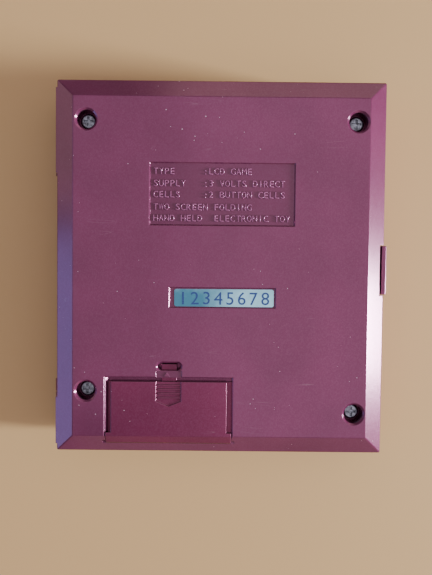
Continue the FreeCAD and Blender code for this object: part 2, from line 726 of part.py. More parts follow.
def battery_contact(x, tab_x):
    """A flat contact on the bay floor under one cell, with a tab up beside the cells to the board."""
    flat = (BAY_FLOOR, BAY_FLOOR + CONTACT_THICK)
    pad = box((x - 3.0, x + 3.0), (CELL_Y - 1.2, CELL_Y + 1.2), flat)
    arm = box(sorted((x, tab_x)), (BAY_Y[1] - 1.4, BAY_Y[1] - 0.1), flat)
    link = box((x - 0.8, x + 0.8), (CELL_Y, BAY_Y[1] - 0.1), flat)
    riser = box((tab_x - 0.8, tab_x + 0.8), (BAY_Y[1] - 0.25, BAY_Y[1] - 0.05), (BAY_FLOOR, BAY_FLOOR + 3.0))
    return joined([pad, arm, link, riser])


def number_plate():
    """The thin metallised serial plate stuck into its recess."""
    floor = HALF_DEPTH - PLATE_RECESS_DEPTH
    return rounded(PLATE_X, PLATE_Y, (floor, floor + PLATE_THICK), 0.3)


# ---- battery door ---------------------------------------------------------------------------------------
def battery_door():
    """The sliding door: raised panel, side rails, a tongue under the shell and a ridged arrow grip."""
    floor, top = DOOR_FLOOR, HALF_DEPTH - 0.02
    bottom = -CASE_Y / 2
    panel = box(DOOR_X, (bottom, DOOR_TOP), (floor, top))
    shoulder = box(grown(RECESS_X, -FIT), (bottom, DOOR_SHOULDER), (floor, top))
    rail_x = grown(RECESS_X, RAIL_REACH)
    rails = box(rail_x, (-39.0, DOOR_TOP), (floor, floor + RAIL_THICK))
    tongue = box(TONGUE_X, (DOOR_TOP - 1, TONGUE_TOP), (floor, floor + TONGUE_THICK))
    body = joined([panel, shoulder, rails, tongue]).common(outer_block())
    outline = [
        (GRIP_X[0], DOOR_TOP + 1),
        (GRIP_X[1], DOOR_TOP + 1),
        (GRIP_X[1], GRIP_SHOULDER),
        (sum(GRIP_X) / 2, GRIP_TIP),
        (GRIP_X[0], GRIP_SHOULDER),
    ]
    link_seat = box(grown(LINK_X, 0.05), grown(LINK_Y, 0.05), (floor, floor + LINK_THICK + 0.02))
    body = less(body, [prism(outline, (HALF_DEPTH - GRIP_DEPTH, FAR)), link_seat])
    ridges = []
    ridge_x = (GRIP_X[0] + 0.35, GRIP_X[1] - 0.05)
    for i in range(RIDGES):
        y = RIDGE_FIRST_Y - i * RIDGE_PITCH
        ridges.append(box(ridge_x, (y - RIDGE_WIDE / 2, y + RIDGE_WIDE / 2), (top - 0.6, top - 0.08)))
    return joined([body] + ridges)


def battery_link():
    """The plate on the door's inner side that joins the two cells in series."""
    return rounded(LINK_X, LINK_Y, (DOOR_FLOOR, DOOR_FLOOR + LINK_THICK), 0.5)


# ---- hinge and ribbon -----------------------------------------------------------------------------------
def hinge_pin():
    """The solid pin of the bottom hinge station."""
    return bar_along_y(HINGE_PIN_RADIUS, HINGE_PIN_Y)


def hinge_sleeve():
    """The hollow pin of the top hinge station, which the ribbon passes through."""
    return bar_along_y(SLEEVE_RADIUS, SLEEVE_Y).cut(bar_along_y(SLEEVE_BORE, grown(SLEEVE_Y, 1)))


def hinge_washers():
    """A spring washer between the two barrels of each station, which gives the hinge its drag."""
    top = (BASE_KNUCKLES[0][1], LID_KNUCKLES[0][0])
    bottom = (BASE_KNUCKLES[1][1], LID_KNUCKLES[1][0])
    washers = []
    for gap, hole in ((top, SLEEVE_RADIUS), (bottom, HINGE_PIN_RADIUS)):
        y = grown(gap, -0.02)
        washers.append(bar_along_y(WASHER_RADIUS, y).cut(bar_along_y(hole + BORE_CLEARANCE, grown(y, 1))))
    return group(washers)


def ribbon_tail(y):
    """A ribbon's run from the barrel, up behind the inner plate, to the face of its board."""
    start = HINGE_X + SLEEVE_RADIUS
    outline = [
        (start, 0.35),
        (-35.1, 0.35),
        (-34.9, 0.55),
        (-34.9, BOARD[0] - FLEX_THICK),
        (-32.0, BOARD[0] - FLEX_THICK),
        (-32.0, BOARD[0]),
        (-35.1, BOARD[0]),
        (-35.1, 0.35 + FLEX_THICK),
        (start, 0.35 + FLEX_THICK),
    ]
    return side_profile(outline, y)


def ribbon_roll():
    """The part of the ribbon that is rolled round the hinge axis, inside the sleeve."""
    length = (BASE_FLEX_Y[0], LID_FLEX_Y[1])
    hollow = bar_along_y(FLEX_ROLL_RADIUS - FLEX_THICK, grown(length, 1))
    return bar_along_y(FLEX_ROLL_RADIUS, length).cut(hollow)


# ---- the two halves -------------------------------------------------------------------------------------
def build_shared(half, screws, board_low):
    """The pieces that both halves have, each under its own name."""
    save(half + "_bezel", bezel(half, screws), half)
    save(half + "_faceplate", faceplate(half), half)
    save(half + "_window", window_lens(), half)
    save(half + "_lcd_glass", lcd_glass(), half)
    save(half + "_lcd_frame", lcd_frame(), half)
    save(half + "_reflector", reflector(), half)
    save(half + "_connector_strips", connector_strips(), half)
    save(half + "_board", board(screws, board_low), half)
    save(half + "_board_screws", board_screws(), half)
    save(half + "_case_screws", case_screws(screws), half)
    side = "left" if half == "base" else "right"
    for level, centre in GAME_BUTTONS.items():
        save(side + "_button_" + level, game_button(centre), half)
        save(side + "_dome_" + level, game_dome(centre), half)


def build_base():
    """The half with the processor, the mode buttons and the battery."""
    save("base_rear_shell", base_rear_shell(), "base")
    build_shared("base", BASE_SCREWS, -24.0)
    for name, centre in MODE_BUTTONS.items():
        save(name + "_button", mode_button(centre), "base")
        save(name + "_dome", mode_dome(centre), "base")
    for name, centre in PIN_BUTTONS.items():
        save(name + "_button", pin_button(centre), "base")
    save("processor_chip", processor_chip(), "base")
    save("timing_crystal", timing_crystal(), "base")
    save("board_components", board_components(), "base")
    save("buzzer_disc", buzzer_disc(), "base")
    save("buzzer_contacts", buzzer_contacts(), "base")
    save("battery_cell_outer", battery_cell(CELL_X[0]), "base")
    save("battery_cell_inner", battery_cell(CELL_X[1]), "base")
    save("battery_contact_plus", battery_contact(CELL_X[0], CELL_X[0] - 4.0), "base")
    save("battery_contact_minus", battery_contact(CELL_X[1], CELL_X[1] + 4.0), "base")
    save("battery_door", battery_door(), "base")
    save("battery_link", battery_link(), "base")
    save("number_plate", number_plate(), "base")
    save("flex_cable_base", ribbon_tail(BASE_FLEX_Y), "base")


def build_lid():
    """The half with the second screen, the finger tab and the fixed side of the hinge."""
    save("lid_front_shell", lid_front_shell(), "lid")
    save("lid_front_plate", lid_front_plate(), "lid")
    save("lid_catch", lid_catch(), "lid")
    build_shared("lid", LID_SCREWS, -29.0)
    save("hinge_pin", hinge_pin(), "lid")
    save("hinge_sleeve", hinge_sleeve(), "lid")
    save("hinge_washers", hinge_washers(), "lid")
    save("flex_cable_lid", group([ribbon_roll(), ribbon_tail(LID_FLEX_Y)]), "lid")


os.makedirs("parts", exist_ok=True)
build_base()
build_lid()
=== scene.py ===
"""Handheld two-screen LCD game, folded shut: its looks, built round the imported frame."""

from __future__ import annotations

import logging
import math
import random
from dataclasses import dataclass
from enum import Enum
from typing import Any

import bmesh
import bpy
from mathutils import Euler, Matrix, Vector, noise


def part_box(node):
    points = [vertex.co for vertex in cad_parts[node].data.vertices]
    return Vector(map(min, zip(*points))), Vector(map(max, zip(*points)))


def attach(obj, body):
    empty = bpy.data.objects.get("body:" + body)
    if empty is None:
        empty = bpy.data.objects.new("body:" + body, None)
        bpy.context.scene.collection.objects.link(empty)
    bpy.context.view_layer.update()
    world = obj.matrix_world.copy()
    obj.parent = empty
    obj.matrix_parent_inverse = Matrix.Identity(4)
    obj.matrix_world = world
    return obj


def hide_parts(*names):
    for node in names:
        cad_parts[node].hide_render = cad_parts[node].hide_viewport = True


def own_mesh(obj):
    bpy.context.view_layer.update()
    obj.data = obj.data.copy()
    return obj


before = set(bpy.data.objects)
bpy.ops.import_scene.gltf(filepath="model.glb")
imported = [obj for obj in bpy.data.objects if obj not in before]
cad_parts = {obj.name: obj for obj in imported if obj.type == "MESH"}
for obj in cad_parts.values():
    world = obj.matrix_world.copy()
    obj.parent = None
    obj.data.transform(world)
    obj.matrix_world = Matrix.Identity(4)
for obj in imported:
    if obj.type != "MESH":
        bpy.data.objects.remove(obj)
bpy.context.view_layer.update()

LOG = logging.getLogger("handheld_game")

Point = tuple[float, float]

# Sizes shared by several pieces, in millimetres of the frame: the seam between
# the halves, and how deep each face lies, measured from the seam into a half.
SEAM_Z = 11.5
BACK_Z = 23.0
FACEPLATE_DEPTH = 1.35
LCD_DEPTH = 3.45
DOME_DEPTH = (5.2, 7.1)
BOARD_BACK_DEPTH = 8.1
PRINT_THICK = 0.02
WINDOW_CENTRE = (-3.5, 15.0)
WINDOW_HALF = (21.0, 15.5)

LETTER_CAPITAL = 0.729  # a capital's height as a share of the built-in letters' size
WAVE_RADIANS = 20.0  # how far one unit of its scale takes the wave texture

IN_PLACE = Matrix.Identity(4)
UNDER = Matrix.Rotation(math.pi, 4, "Y")  # turns a drawing over, to be read from below


def mm(value: float) -> float:
    """Gives a length in metres from one in millimetres."""
    return value / 1000.0


def per_mm(size: float) -> float:
    """Gives the pattern scale whose cells are `size` millimetres wide."""
    return 1000.0 / size


def per_stripe(size: float) -> float:
    """Gives the wave texture's scale whose stripes come every `size` millimetres."""
    return per_mm(size) / WAVE_RADIANS * math.tau


def linear(colour: str) -> tuple[float, float, float, float]:
    """Turns an sRGB hex colour into the linear colour that shaders take.

    Args:
        colour: Six hex digits with a leading hash.

    Returns:
        Red, green, blue and an alpha of one.
    """
    channels = []
    for start in (1, 3, 5):
        value = int(colour[start:start + 2], 16) / 255.0
        channels.append(value / 12.92 if value <= 0.04045 else ((value + 0.055) / 1.055) ** 2.4)
    return (channels[0], channels[1], channels[2], 1.0)


# ---------------------------------------------------------------- materials


def feed(tree: bpy.types.NodeTree, node: bpy.types.Node, inputs: dict[Any, Any]) -> None:
    """Fills or links a node's sockets.

    Args:
        tree: The node tree that holds the node.
        node: The node whose sockets are set.
        inputs: Socket name or number against a value, an output, or a whole node, which
            stands for its first output in use.
    """
    for key, value in inputs.items():
        if isinstance(value, bpy.types.Node):
            value = next(output for output in value.outputs if output.enabled)
        if isinstance(value, bpy.types.NodeSocket):
            tree.links.new(value, node.inputs[key])
        else:
            node.inputs[key].default_value = value


class Surface:
    """A material in the making: its nodes, its Principled shader and the point on the piece."""

    def __init__(self, name: str) -> None:
        """Starts with a bare shader.

        Args:
            name: The material's name.
        """
        self.material = bpy.data.materials.new(name)
        self.material.use_nodes = True
        self.tree = self.material.node_tree
        self.tree.nodes.clear()
        self.shader = self.node("BsdfPrincipled")
        self.output = self.node("OutputMaterial", {"Surface": self.shader})
        self.point = self.node("TexCoord").outputs["Object"]

    def node(self, kind: str, inputs: dict[Any, Any] | None = None,
             **settings: Any) -> bpy.types.Node:
        """Adds one shader node with its settings and links.

        Args:
            kind: The node's type, without its "ShaderNode" prefix.
            inputs: What feed() puts on its sockets.
            **settings: Properties of the node itself.

        Returns:
            The new node.
        """
        node = self.tree.nodes.new("ShaderNode" + kind)
        for name, value in settings.items():
            setattr(node, name, value)
        feed(self.tree, node, inputs or {})
        return node

    def set(self, inputs: dict[Any, Any]) -> None:
        """Fills or links the Principled shader's sockets."""
        feed(self.tree, self.shader, inputs)


@dataclass(frozen=True)
class Finish:
    """A finish: what the real surface is made of and how it was made."""

    name: str
    colour: str
    roughness: float
    metallic: float = 0.0
    ior: float = 1.5
    coat: float = 0.0
    anisotropic: float = 0.0
    specular: float = 0.5

    def build(self) -> bpy.types.Material:
        """Makes the material.

        Returns:
            The finished material, with its pattern.
        """
        surface = Surface(self.name)
        surface.set({
            "Base Color": linear(self.colour), "Roughness": self.roughness,
            "Metallic": self.metallic, "IOR": self.ior, "Coat Weight": self.coat,
            "Anisotropic": self.anisotropic, "Specular IOR Level": self.specular})
        self.dress(surface)
        return surface.material

    def tint(self, surface: Surface, mask: Any, other: str) -> None:
        """Lets another colour show through the finish's own.

        Args:
            surface: The material in the making.
            mask: The node or output that says where it shows, from 0 to 1.
            other: The other colour.
        """
        tone = surface.node("Mix", {
            "Factor": mask, 6: linear(self.colour), 7: linear(other)}, data_type="RGBA")
        surface.set({"Base Color": tone})

    def dress(self, surface: Surface) -> None:
        """Adds the finish's own pattern; the plain finish has faint mottling only.

        Args:
            surface: The material in the making.
        """
        # Handling leaves faint patches about 3 mm across on any surface.
        patches = surface.node("TexNoise", {
            "Vector": surface.point, "Scale": per_mm(3.0), "Detail": 3.0})
        rough = surface.node("MapRange", {
            "Value": patches, "To Min": self.roughness * 0.85, "To Max": self.roughness * 1.15})
        surface.set({"Roughness": rough})


@dataclass(frozen=True)
class MouldedAbs(Finish):
    """ABS out of a mould, paler along its edges: partly wear, partly painted highlight."""

    # Paler colour of the edges: partly wear, partly painted highlight.
    edge_wear_and_highlight: str = "#8a8a8a"
    edge_mm: float = 0.15
    grain_mm: float = 0.3
    grain_strength: float = 0.3
    grain_depth_mm: float = 0.015

    def rub_and_highlight_edges(self, surface: Surface, colour: bpy.types.Node, samples: int, lean: Point,
                  share: float) -> tuple[bpy.types.Node, bpy.types.Node]:
        """Paints the edges paler, over about the width of their rounding: partly wear, partly
        painted highlight.

        Args:
            surface: The material in the making.
            colour: The colour so far.
            samples: How finely the rounding is worked out.
            lean: Cosines of the rounding's lean where the paler edge starts and where it is full.
            share: How much of the pale edge colour, wear and painted highlight, shows where it is
                full.

        Returns:
            The colour with its paler edges, wear and painted highlight, and the rounded normal.
        """
        rounded = surface.node("Bevel", {"Radius": mm(self.edge_mm)}, samples=samples)
        true_normal = surface.node("NewGeometry").outputs["Normal"]
        facing = surface.node("VectorMath", {0: rounded, 1: true_normal}, operation="DOT_PRODUCT")
        # Painted highlight and wear: where the rounded normal leans from the true one, the edge
        # turns paler.
        wear_and_highlight = surface.node("MapRange", {
            "Value": facing, "From Min": lean[0], "From Max": lean[1], "To Max": share})
        edged = surface.node("Mix", {
            "Factor": wear_and_highlight, 6: colour, 7: linear(self.edge_wear_and_highlight)}, data_type="RGBA")
        return edged, rounded

    def mould_skin(self, surface: Surface, rounded: bpy.types.Node) -> bpy.types.Node:
        """Adds the fine texture that the mould's spark-eroded wall leaves.

        Args:
            surface: The material in the making.
            rounded: The normal with rounded edges.

        Returns:
            The normal with the texture's relief.
        """
        grain = surface.node("TexNoise", {
            "Vector": surface.point, "Scale": per_mm(self.grain_mm), "Detail": 2.0})
        return surface.node("Bump", {
            "Height": grain, "Strength": self.grain_strength,
            "Distance": mm(self.grain_depth_mm), "Normal": rounded})


@dataclass(frozen=True)
class FlakedAbs(MouldedAbs):
    """Moulded ABS coloured in the mass, with fine aluminium flake and a satin mould skin.

    To the eye it is a deep colour under a broad soft gloss, with a slight sparkle,
    pale dust specks and hair scratches, and edges that catch the light.
    """

    flake: str = "#b58cab"
    # Paler colour of the edges: partly wear, partly painted highlight.
    edge_wear_and_highlight: str = "#a8768c"
    edge_mm: float = 0.2
    grain_mm: float = 0.22
    grain_strength: float = 0.1
    grain_depth_mm: float = 0.01
    flake_mm: float = 0.24
    # Depth of the painted shade in holes and corners.
    painted_corner_shade: float = 0.45
    dust: float = 1.0
    dust_colour: str = "#d9c3cd"
    speck_mm: float = 1.8
    # Hair scratches: the noise's size, the level whose contours they follow, and for each
    # of the two sets its angle in radians and its width as a share of the noise.
    scratch_mm: float = 2.6
    contour: float = 0.66
    scratches: tuple[Point, ...] = ((0.6, 0.0045), (2.2, 0.0035))
    sunk: float = 1.0

    def dress(self, surface: Surface) -> None:
        """Adds flake, dust, scratches, paler edges of wear and painted highlight, painted shade in
        holes and corners, and the mould's texture.

        Args:
            surface: The material in the making.
        """
        # The pigment's flakes are 0.05 to 0.1 mm; they are drawn at 0.24 mm so that they show.
        flakes = surface.node("TexVoronoi", {
            "Vector": surface.point, "Scale": per_mm(self.flake_mm)})
        shine = surface.node("MapRange", {
            "Value": flakes.outputs["Color"], "From Min": 0.3, "From Max": 1.0, "To Max": 0.05})
        tinted = surface.node("Mix", {
            "Factor": shine, 6: linear(self.colour), 7: linear(self.flake)}, data_type="RGBA")
        # Uneven mixing of the pigment, in clouds about 14 mm wide.
        clouds = surface.node("TexNoise", {
            "Vector": surface.point, "Scale": per_mm(14.0), "Detail": 4.0})
        level = surface.node("MapRange", {
            "Value": clouds, "From Min": 0.3, "From Max": 0.7, "To Min": 0.9, "To Max": 1.08})
        cloudy = surface.node("VectorMath", {0: tinted, "Scale": level}, operation="SCALE")
        edged, rounded = self.rub_and_highlight_edges(surface, cloudy, 8, (0.999, 0.93), 0.15)
        # Painted shade: ambient occlusion darkens the colour of what lies deep in holes and
        # corners.
        open_sky = surface.node("AmbientOcclusion", {"Distance": mm(3.5)}, samples=6)
        depth = surface.node("MapRange", {
            "Value": open_sky.outputs["AO"], "From Min": 0.08, "From Max": 0.5,
            "To Min": 1.0 - self.painted_corner_shade, "To Max": 1.0})
        # The floors of the shallow recesses, up to 0.45 mm below the back, are painted darker than
        # the open back, by the factor sunk.
        lies = surface.node("SeparateXYZ", {"Vector": surface.point})
        faces = surface.node("SeparateXYZ", {"Vector": surface.node("TexCoord").outputs["Normal"]})
        below = surface.node("MapRange", {
            "Value": lies.outputs["Z"], "From Min": mm(BACK_Z - 0.05),
            "From Max": mm(BACK_Z - 0.2)})
        near = surface.node("MapRange", {
            "Value": lies.outputs["Z"], "From Min": mm(BACK_Z - 0.6),
            "From Max": mm(BACK_Z - 0.45)})
        level_up = surface.node("Math", {0: faces.outputs["Z"], 1: 0.98}, operation="GREATER_THAN")
        within = surface.node("Math", {0: below, 1: near}, operation="MULTIPLY")
        floors = surface.node("Math", {0: within, 1: level_up}, operation="MULTIPLY")
        darker_floors = surface.node("MapRange", {"Value": floors, "To Min": 1.0, "To Max": self.sunk})
        # The painted shade and the darker recess floors scale the colour.
        shade = surface.node("Math", {0: depth, 1: darker_floors}, operation="MULTIPLY")
        shaded_colour = surface.node("VectorMath", {0: edged, "Scale": shade}, operation="SCALE")
        # Painted shade on the gloss: deep in holes and corners, found by ambient occlusion, the
        # metallic share rises, so that the gloss there takes the dark base colour.
        metal = surface.node("MapRange", {
            "Value": open_sky.outputs["AO"], "From Min": 0.1, "From Max": 0.75, "To Min": 0.85,
            "To Max": self.metallic})
        # Dust: specks up to 0.3 mm wide, one to each 1.8 mm or so, gathered in drifts.
        specks = surface.node("TexVoronoi", {
            "Vector": surface.point, "Scale": per_mm(self.speck_mm)})
        drifts = surface.node("TexNoise", {
            "Vector": surface.point, "Scale": per_mm(20.0), "Detail": 2.0})
        reach = surface.node("MapRange", {
            "Value": drifts, "From Min": 0.42, "From Max": 0.68, "To Max": 0.085 * self.dust})
        speck = surface.node("Math", {
            0: specks.outputs["Distance"], 1: reach}, operation="LESS_THAN")
        # Hair scratches: thin contours of a noise stretched to 32 mm by 2.6 mm.
        streaks = []
        for angle, width in self.scratches:
            laid = surface.node("Mapping", {
                "Vector": surface.point, "Rotation": (0.0, 0.0, angle), "Scale": (0.08, 1.0, 1.0)})
            waves = surface.node("TexNoise", {
                "Vector": laid, "Scale": per_mm(self.scratch_mm), "Detail": 1.0})
            line = surface.node("Math", {0: waves, 1: self.contour, 2: width}, operation="COMPARE")
            streaks.append(line)
        marks = surface.node("Math", {0: streaks[0], 1: streaks[1]}, operation="MAXIMUM")
        # Only the few deepest show, where a coarse mask of about 12 mm lets them through.
        kept = surface.node("TexNoise", {"Vector": surface.point, "Scale": per_mm(12.0)})
        share = surface.node("MapRange", {
            "Value": kept, "From Min": 0.56, "From Max": 0.68, "To Max": 0.18})
        soft_marks = surface.node("Math", {0: marks, 1: share}, operation="MULTIPLY")
        spots = surface.node("Math", {0: speck, 1: soft_marks}, operation="MAXIMUM")
        bare = surface.node("MapRange", {"Value": floors, "To Min": 0.55, "To Max": 0.0})
        pale = surface.node("Math", {0: spots, 1: bare}, operation="MULTIPLY")
        dusty = surface.node("Mix", {
            "Factor": pale, 6: shaded_colour, 7: linear(self.dust_colour)}, data_type="RGBA")
        # Satin skin: gloss rises on each flake, and dust and scratches are dull.
        gloss = surface.node("MapRange", {
            "Value": flakes.outputs["Distance"], "To Min": self.roughness - 0.03,
            "To Max": self.roughness + 0.03})
        dull = surface.node("Math", {0: gloss, 1: spots}, operation="MAXIMUM")
        skin = self.mould_skin(surface, rounded)
        surface.set({"Base Color": dusty, "Roughness": dull, "Metallic": metal, "Normal": skin})


@dataclass(frozen=True)
class MattAbs(MouldedAbs):
    """Moulded ABS with a plain matt skin: even colour, soft sheen, edges paler by wear and painted
    highlight.
    """

    def dress(self, surface: Surface) -> None:
        """Adds paler edges, wear and painted highlight, faint clouds and the mould's grain.

        Args:
            surface: The material in the making.
        """
        # Faint clouds about 6 mm wide, as pigment leaves in thick mouldings.
        clouds = surface.node("TexNoise", {
            "Vector": surface.point, "Scale": per_mm(6.0), "Detail": 4.0})
        level = surface.node("MapRange", {"Value": clouds, "To Min": 0.88, "To Max": 1.12})
        cloudy = surface.node("VectorMath", {
            0: linear(self.colour)[:3], "Scale": level}, operation="SCALE")
        edged, rounded = self.rub_and_highlight_edges(surface, cloudy, 4, (0.995, 0.85), 0.35)
        rough = surface.node("MapRange", {
            "Value": clouds, "To Min": self.roughness - 0.06, "To Max": self.roughness + 0.06})
        skin = self.mould_skin(surface, rounded)
        surface.set({"Base Color": edged, "Roughness": rough, "Normal": skin})


@dataclass(frozen=True)
class BrushedAluminium(Finish):
    """Aluminium sheet brushed with fine abrasive: long parallel hairlines and a stretched gloss."""

    dark: str = "#8f8b84"
    hair_mm: float = 0.12
    length_mm: float = 30.0

    def dress(self, surface: Surface) -> None:
        """Adds hairlines along X.

        Args:
            surface: The material in the making.
        """
        # The abrasive's lines are 0.05 mm apart; they are drawn at 0.12 mm so that they show.
        stretched = surface.node("Mapping", {
            "Vector": surface.point, "Scale": (self.hair_mm / self.length_mm, 1.0, 1.0)})
        hairs = surface.node("TexNoise", {
            "Vector": stretched, "Scale": per_mm(self.hair_mm), "Detail": 3.0})
        shade = surface.node("MapRange", {"Value": hairs, "From Min": 0.3, "From Max": 0.7})
        tone = surface.node("Mix", {
            "Factor": shade, 6: linear(self.dark), 7: linear(self.colour)}, data_type="RGBA")
        rough = surface.node("MapRange", {
            "Value": hairs, "From Min": 0.3, "From Max": 0.7, "To Min": self.roughness + 0.08,
            "To Max": self.roughness - 0.08})
        relief = surface.node("Bump", {"Height": hairs, "Strength": 0.25, "Distance": mm(0.01)})
        surface.set({"Base Color": tone, "Roughness": rough, "Normal": relief})


@dataclass(frozen=True)
class PlatedMetal(Finish):
    """Metal turned, stamped or rolled and then plated: bright, with tarnish in small patches."""

    tarnish: str = "#5f6266"
    patch_mm: float = 0.8
    share: float = 0.5
    edge_mm: float = 0.08

    def dress(self, surface: Surface) -> None:
        """Adds tarnish patches, a fine rolled grain and broken edges.

        Args:
            surface: The material in the making.
        """
        patches = surface.node("TexNoise", {
            "Vector": surface.point, "Scale": per_mm(self.patch_mm), "Detail": 5.0,
            "Roughness": 0.6})
        amount = surface.node("MapRange", {
            "Value": patches, "From Min": 0.42, "From Max": 0.66, "To Max": self.share})
        self.tint(surface, amount, self.tarnish)
        rough = surface.node("MapRange", {
            "Value": patches, "From Min": 0.35, "From Max": 0.7, "To Min": self.roughness * 0.8,
            "To Max": self.roughness * 1.5})
        rounded = surface.node("Bevel", {"Radius": mm(self.edge_mm)}, samples=4)
        # Rolling and turning marks, drawn 0.15 mm apart.
        marks = surface.node("TexNoise", {
            "Vector": surface.point, "Scale": per_mm(0.15), "Detail": 1.0})
        relief = surface.node("Bump", {
            "Height": marks, "Strength": 0.15, "Distance": mm(0.008), "Normal": rounded})
        surface.set({"Roughness": rough, "Normal": relief})


@dataclass(frozen=True)
class CastAcrylic(Finish):
    """Clear acrylic sheet, die cut and polished: seen through, with a clean gloss on top."""

    def dress(self, surface: Surface) -> None:
        """Makes the sheet clear and lets light through it to what lies behind.

        Args:
            surface: The material in the making.
        """
        # Wiping leaves faint smears about 8 mm wide in the gloss.
        smears = surface.node("TexNoise", {
            "Vector": surface.point, "Scale": per_mm(8.0), "Detail": 3.0})
        gloss = surface.node("MapRange", {
            "Value": smears, "From Min": 0.4, "From Max": 0.8, "To Min": self.roughness,
            "To Max": self.roughness + 0.03})
        surface.set({"Transmission Weight": 1.0, "Roughness": gloss})
        clear = surface.node("BsdfTransparent", {"Color": (0.93, 0.94, 0.93, 1.0)})
        path = surface.node("LightPath")
        shown = surface.node("MixShader", {
            "Fac": path.outputs["Is Shadow Ray"], 1: surface.shader, 2: clear})
        feed(surface.tree, surface.output, {"Surface": shown})


@dataclass(frozen=True)
class LcdCell(Finish):
    """Liquid crystal cell over its polariser: grey-green, with a slight pearly unevenness."""

    shade: str = "#7f8a72"

    def dress(self, surface: Surface) -> None:
        """Adds the polariser's soft clouds and the reflector's fine sparkle.

        Args:
            surface: The material in the making.
        """
        clouds = surface.node("TexNoise", {
            "Vector": surface.point, "Scale": per_mm(16.0), "Detail": 2.0})
        # The reflector's grain is 0.05 mm; it is drawn at 0.2 mm so that it shows.
        grain = surface.node("TexNoise", {
            "Vector": surface.point, "Scale": per_mm(0.2), "Detail": 1.0})
        mixed = surface.node("Math", {0: clouds, 1: grain}, operation="MULTIPLY")
        self.tint(surface, mixed, self.shade)


@dataclass(frozen=True)
class ZebraRubber(Finish):
    """Silicone strip of carbon and clear layers in turn: fine black and pale stripes."""

    pale: str = "#b9b4a8"

    def dress(self, surface: Surface) -> None:
        """Adds the layers along X.

        Args:
            surface: The material in the making.
        """
        # The layers are 0.05 mm thick; they are drawn 0.3 mm thick so that they show.
        layers = surface.node("TexWave", {
            "Vector": surface.point, "Scale": per_stripe(0.6), "Distortion": 0.0},
            bands_direction="X")
        self.tint(surface, layers.outputs["Fac"], self.pale)


@dataclass(frozen=True)
class SiliconeRubber(Finish):
    """Moulded silicone rubber: soft, slightly see-through at thin edges, dusty matt skin."""

    scatter: float = 0.0

    def dress(self, surface: Surface) -> None:
        """Adds a powdery skin and lets a little light into the rubber.

        Args:
            surface: The material in the making.
        """
        powder = surface.node("TexNoise", {
            "Vector": surface.point, "Scale": per_mm(0.4), "Detail": 4.0})
        rough = surface.node("MapRange", {
            "Value": powder, "To Min": self.roughness - 0.1, "To Max": self.roughness + 0.1})
        skin = surface.node("Bump", {"Height": powder, "Strength": 0.2, "Distance": mm(0.02)})
        surface.set({
            "Roughness": rough, "Normal": skin, "Subsurface Weight": self.scatter,
            "Subsurface Scale": mm(0.6)})


@dataclass(frozen=True)
class PaperLaminate(Finish):
    """Phenolic paper board under green lacquer: waxy, with fibres showing faintly through."""

    fibre: str = "#53663a"

    def dress(self, surface: Surface) -> None:
        """Adds the paper's fibres below the lacquer.

        Args:
            surface: The material in the making.
        """
        # Paper fibres are about 2 mm long; the mat is drawn 1 mm coarse.
        mat = surface.node("TexNoise", {
            "Vector": surface.point, "Scale": per_mm(1.0), "Detail": 6.0, "Roughness": 0.7,
            "Distortion": 1.5})
        self.tint(surface, mat, self.fibre)


@dataclass(frozen=True)
class MetallisedFilm(Finish):
    """Metallised polyester label film: a tinted mirror with rubbed silver, a painted reflection
    that pales it towards the right, and small wrinkles.
    """

    # Pale silver: partly where the tint is rubbed thin, partly painted reflection.
    wear_and_highlight: str = "#abe2f0"

    def dress(self, surface: Surface) -> None:
        """Adds the rubbed silver, paler towards the right as painted reflection, and the wrinkles
        left by sticking it down.

        Args:
            surface: The material in the making.
        """
        # The tint is rubbed thin in patches about 7 mm wide; the pale silver also grows towards the
        # right as a painted reflection of the light.
        along = surface.node("SeparateXYZ", {"Vector": surface.point})
        side = surface.node("MapRange", {
            "Value": along.outputs["X"], "From Min": mm(-10.0), "From Max": mm(12.0),
            "To Min": -0.3, "To Max": 0.35})
        thin = surface.node("TexNoise", {
            "Vector": surface.point, "Scale": per_mm(7.0), "Detail": 3.0})
        wear_and_reflection = surface.node("Math", {0: thin, 1: side}, operation="ADD")
        amount = surface.node("MapRange", {"Value": wear_and_reflection, "From Min": 0.3, "From Max": 0.95})
        self.tint(surface, amount, self.wear_and_highlight)
        # Wrinkles run up the strip, about 1.5 mm apart.
        laid = surface.node("Mapping", {"Vector": surface.point, "Scale": (1.0, 0.25, 1.0)})
        wrinkles = surface.node("TexNoise", {"Vector": laid, "Scale": per_mm(1.5), "Detail": 2.0})
        relief = surface.node("Bump", {"Height": wrinkles, "Strength": 0.3, "Distance": mm(0.05)})
        surface.set({"Normal": relief})


@dataclass(frozen=True)
class PolyimideFilm(Finish):
    """Amber polyimide film over etched copper: glossy, with tracks showing through."""

    track: str = "#c98a4a"

    def dress(self, surface: Surface) -> None:
        """Adds the tracks, 0.4 mm apart across the ribbon.

        Args:
            surface: The material in the making.
        """
        tracks = surface.node("TexWave", {
            "Vector": surface.point, "Scale": per_stripe(0.4), "Distortion": 0.0},
            bands_direction="Y")
        self.tint(surface, tracks.outputs["Fac"], self.track)


@dataclass(frozen=True)
class PrintingInk(Finish):
    """Screen-printed ink: flat colour with thin spots where the screen's mesh starved it."""

    thin: str = "#6b6b6b"

    def dress(self, surface: Surface) -> None:
        """Adds the starved spots, about 0.3 mm wide.

        Args:
            surface: The material in the making.
        """
        starved = surface.node("TexNoise", {
            "Vector": surface.point, "Scale": per_mm(0.3), "Detail": 3.0})
        amount = surface.node("MapRange", {
            "Value": starved, "From Min": 0.5, "From Max": 0.75, "To Max": 0.45})
        self.tint(surface, amount, self.thin)


# ABS at IOR 1.54; the case and the door came from two moulds, and the door is the duller.
CASE_ABS = FlakedAbs("maroon_flaked_abs", "#682b4c", 0.17, metallic=0.4, ior=1.54, sunk=0.8)
DOOR_ABS = FlakedAbs("maroon_door_abs", "#662543", 0.2, metallic=0.4, ior=1.54, specular=0.25,
                     dust=0.8, edge_mm=0.36)
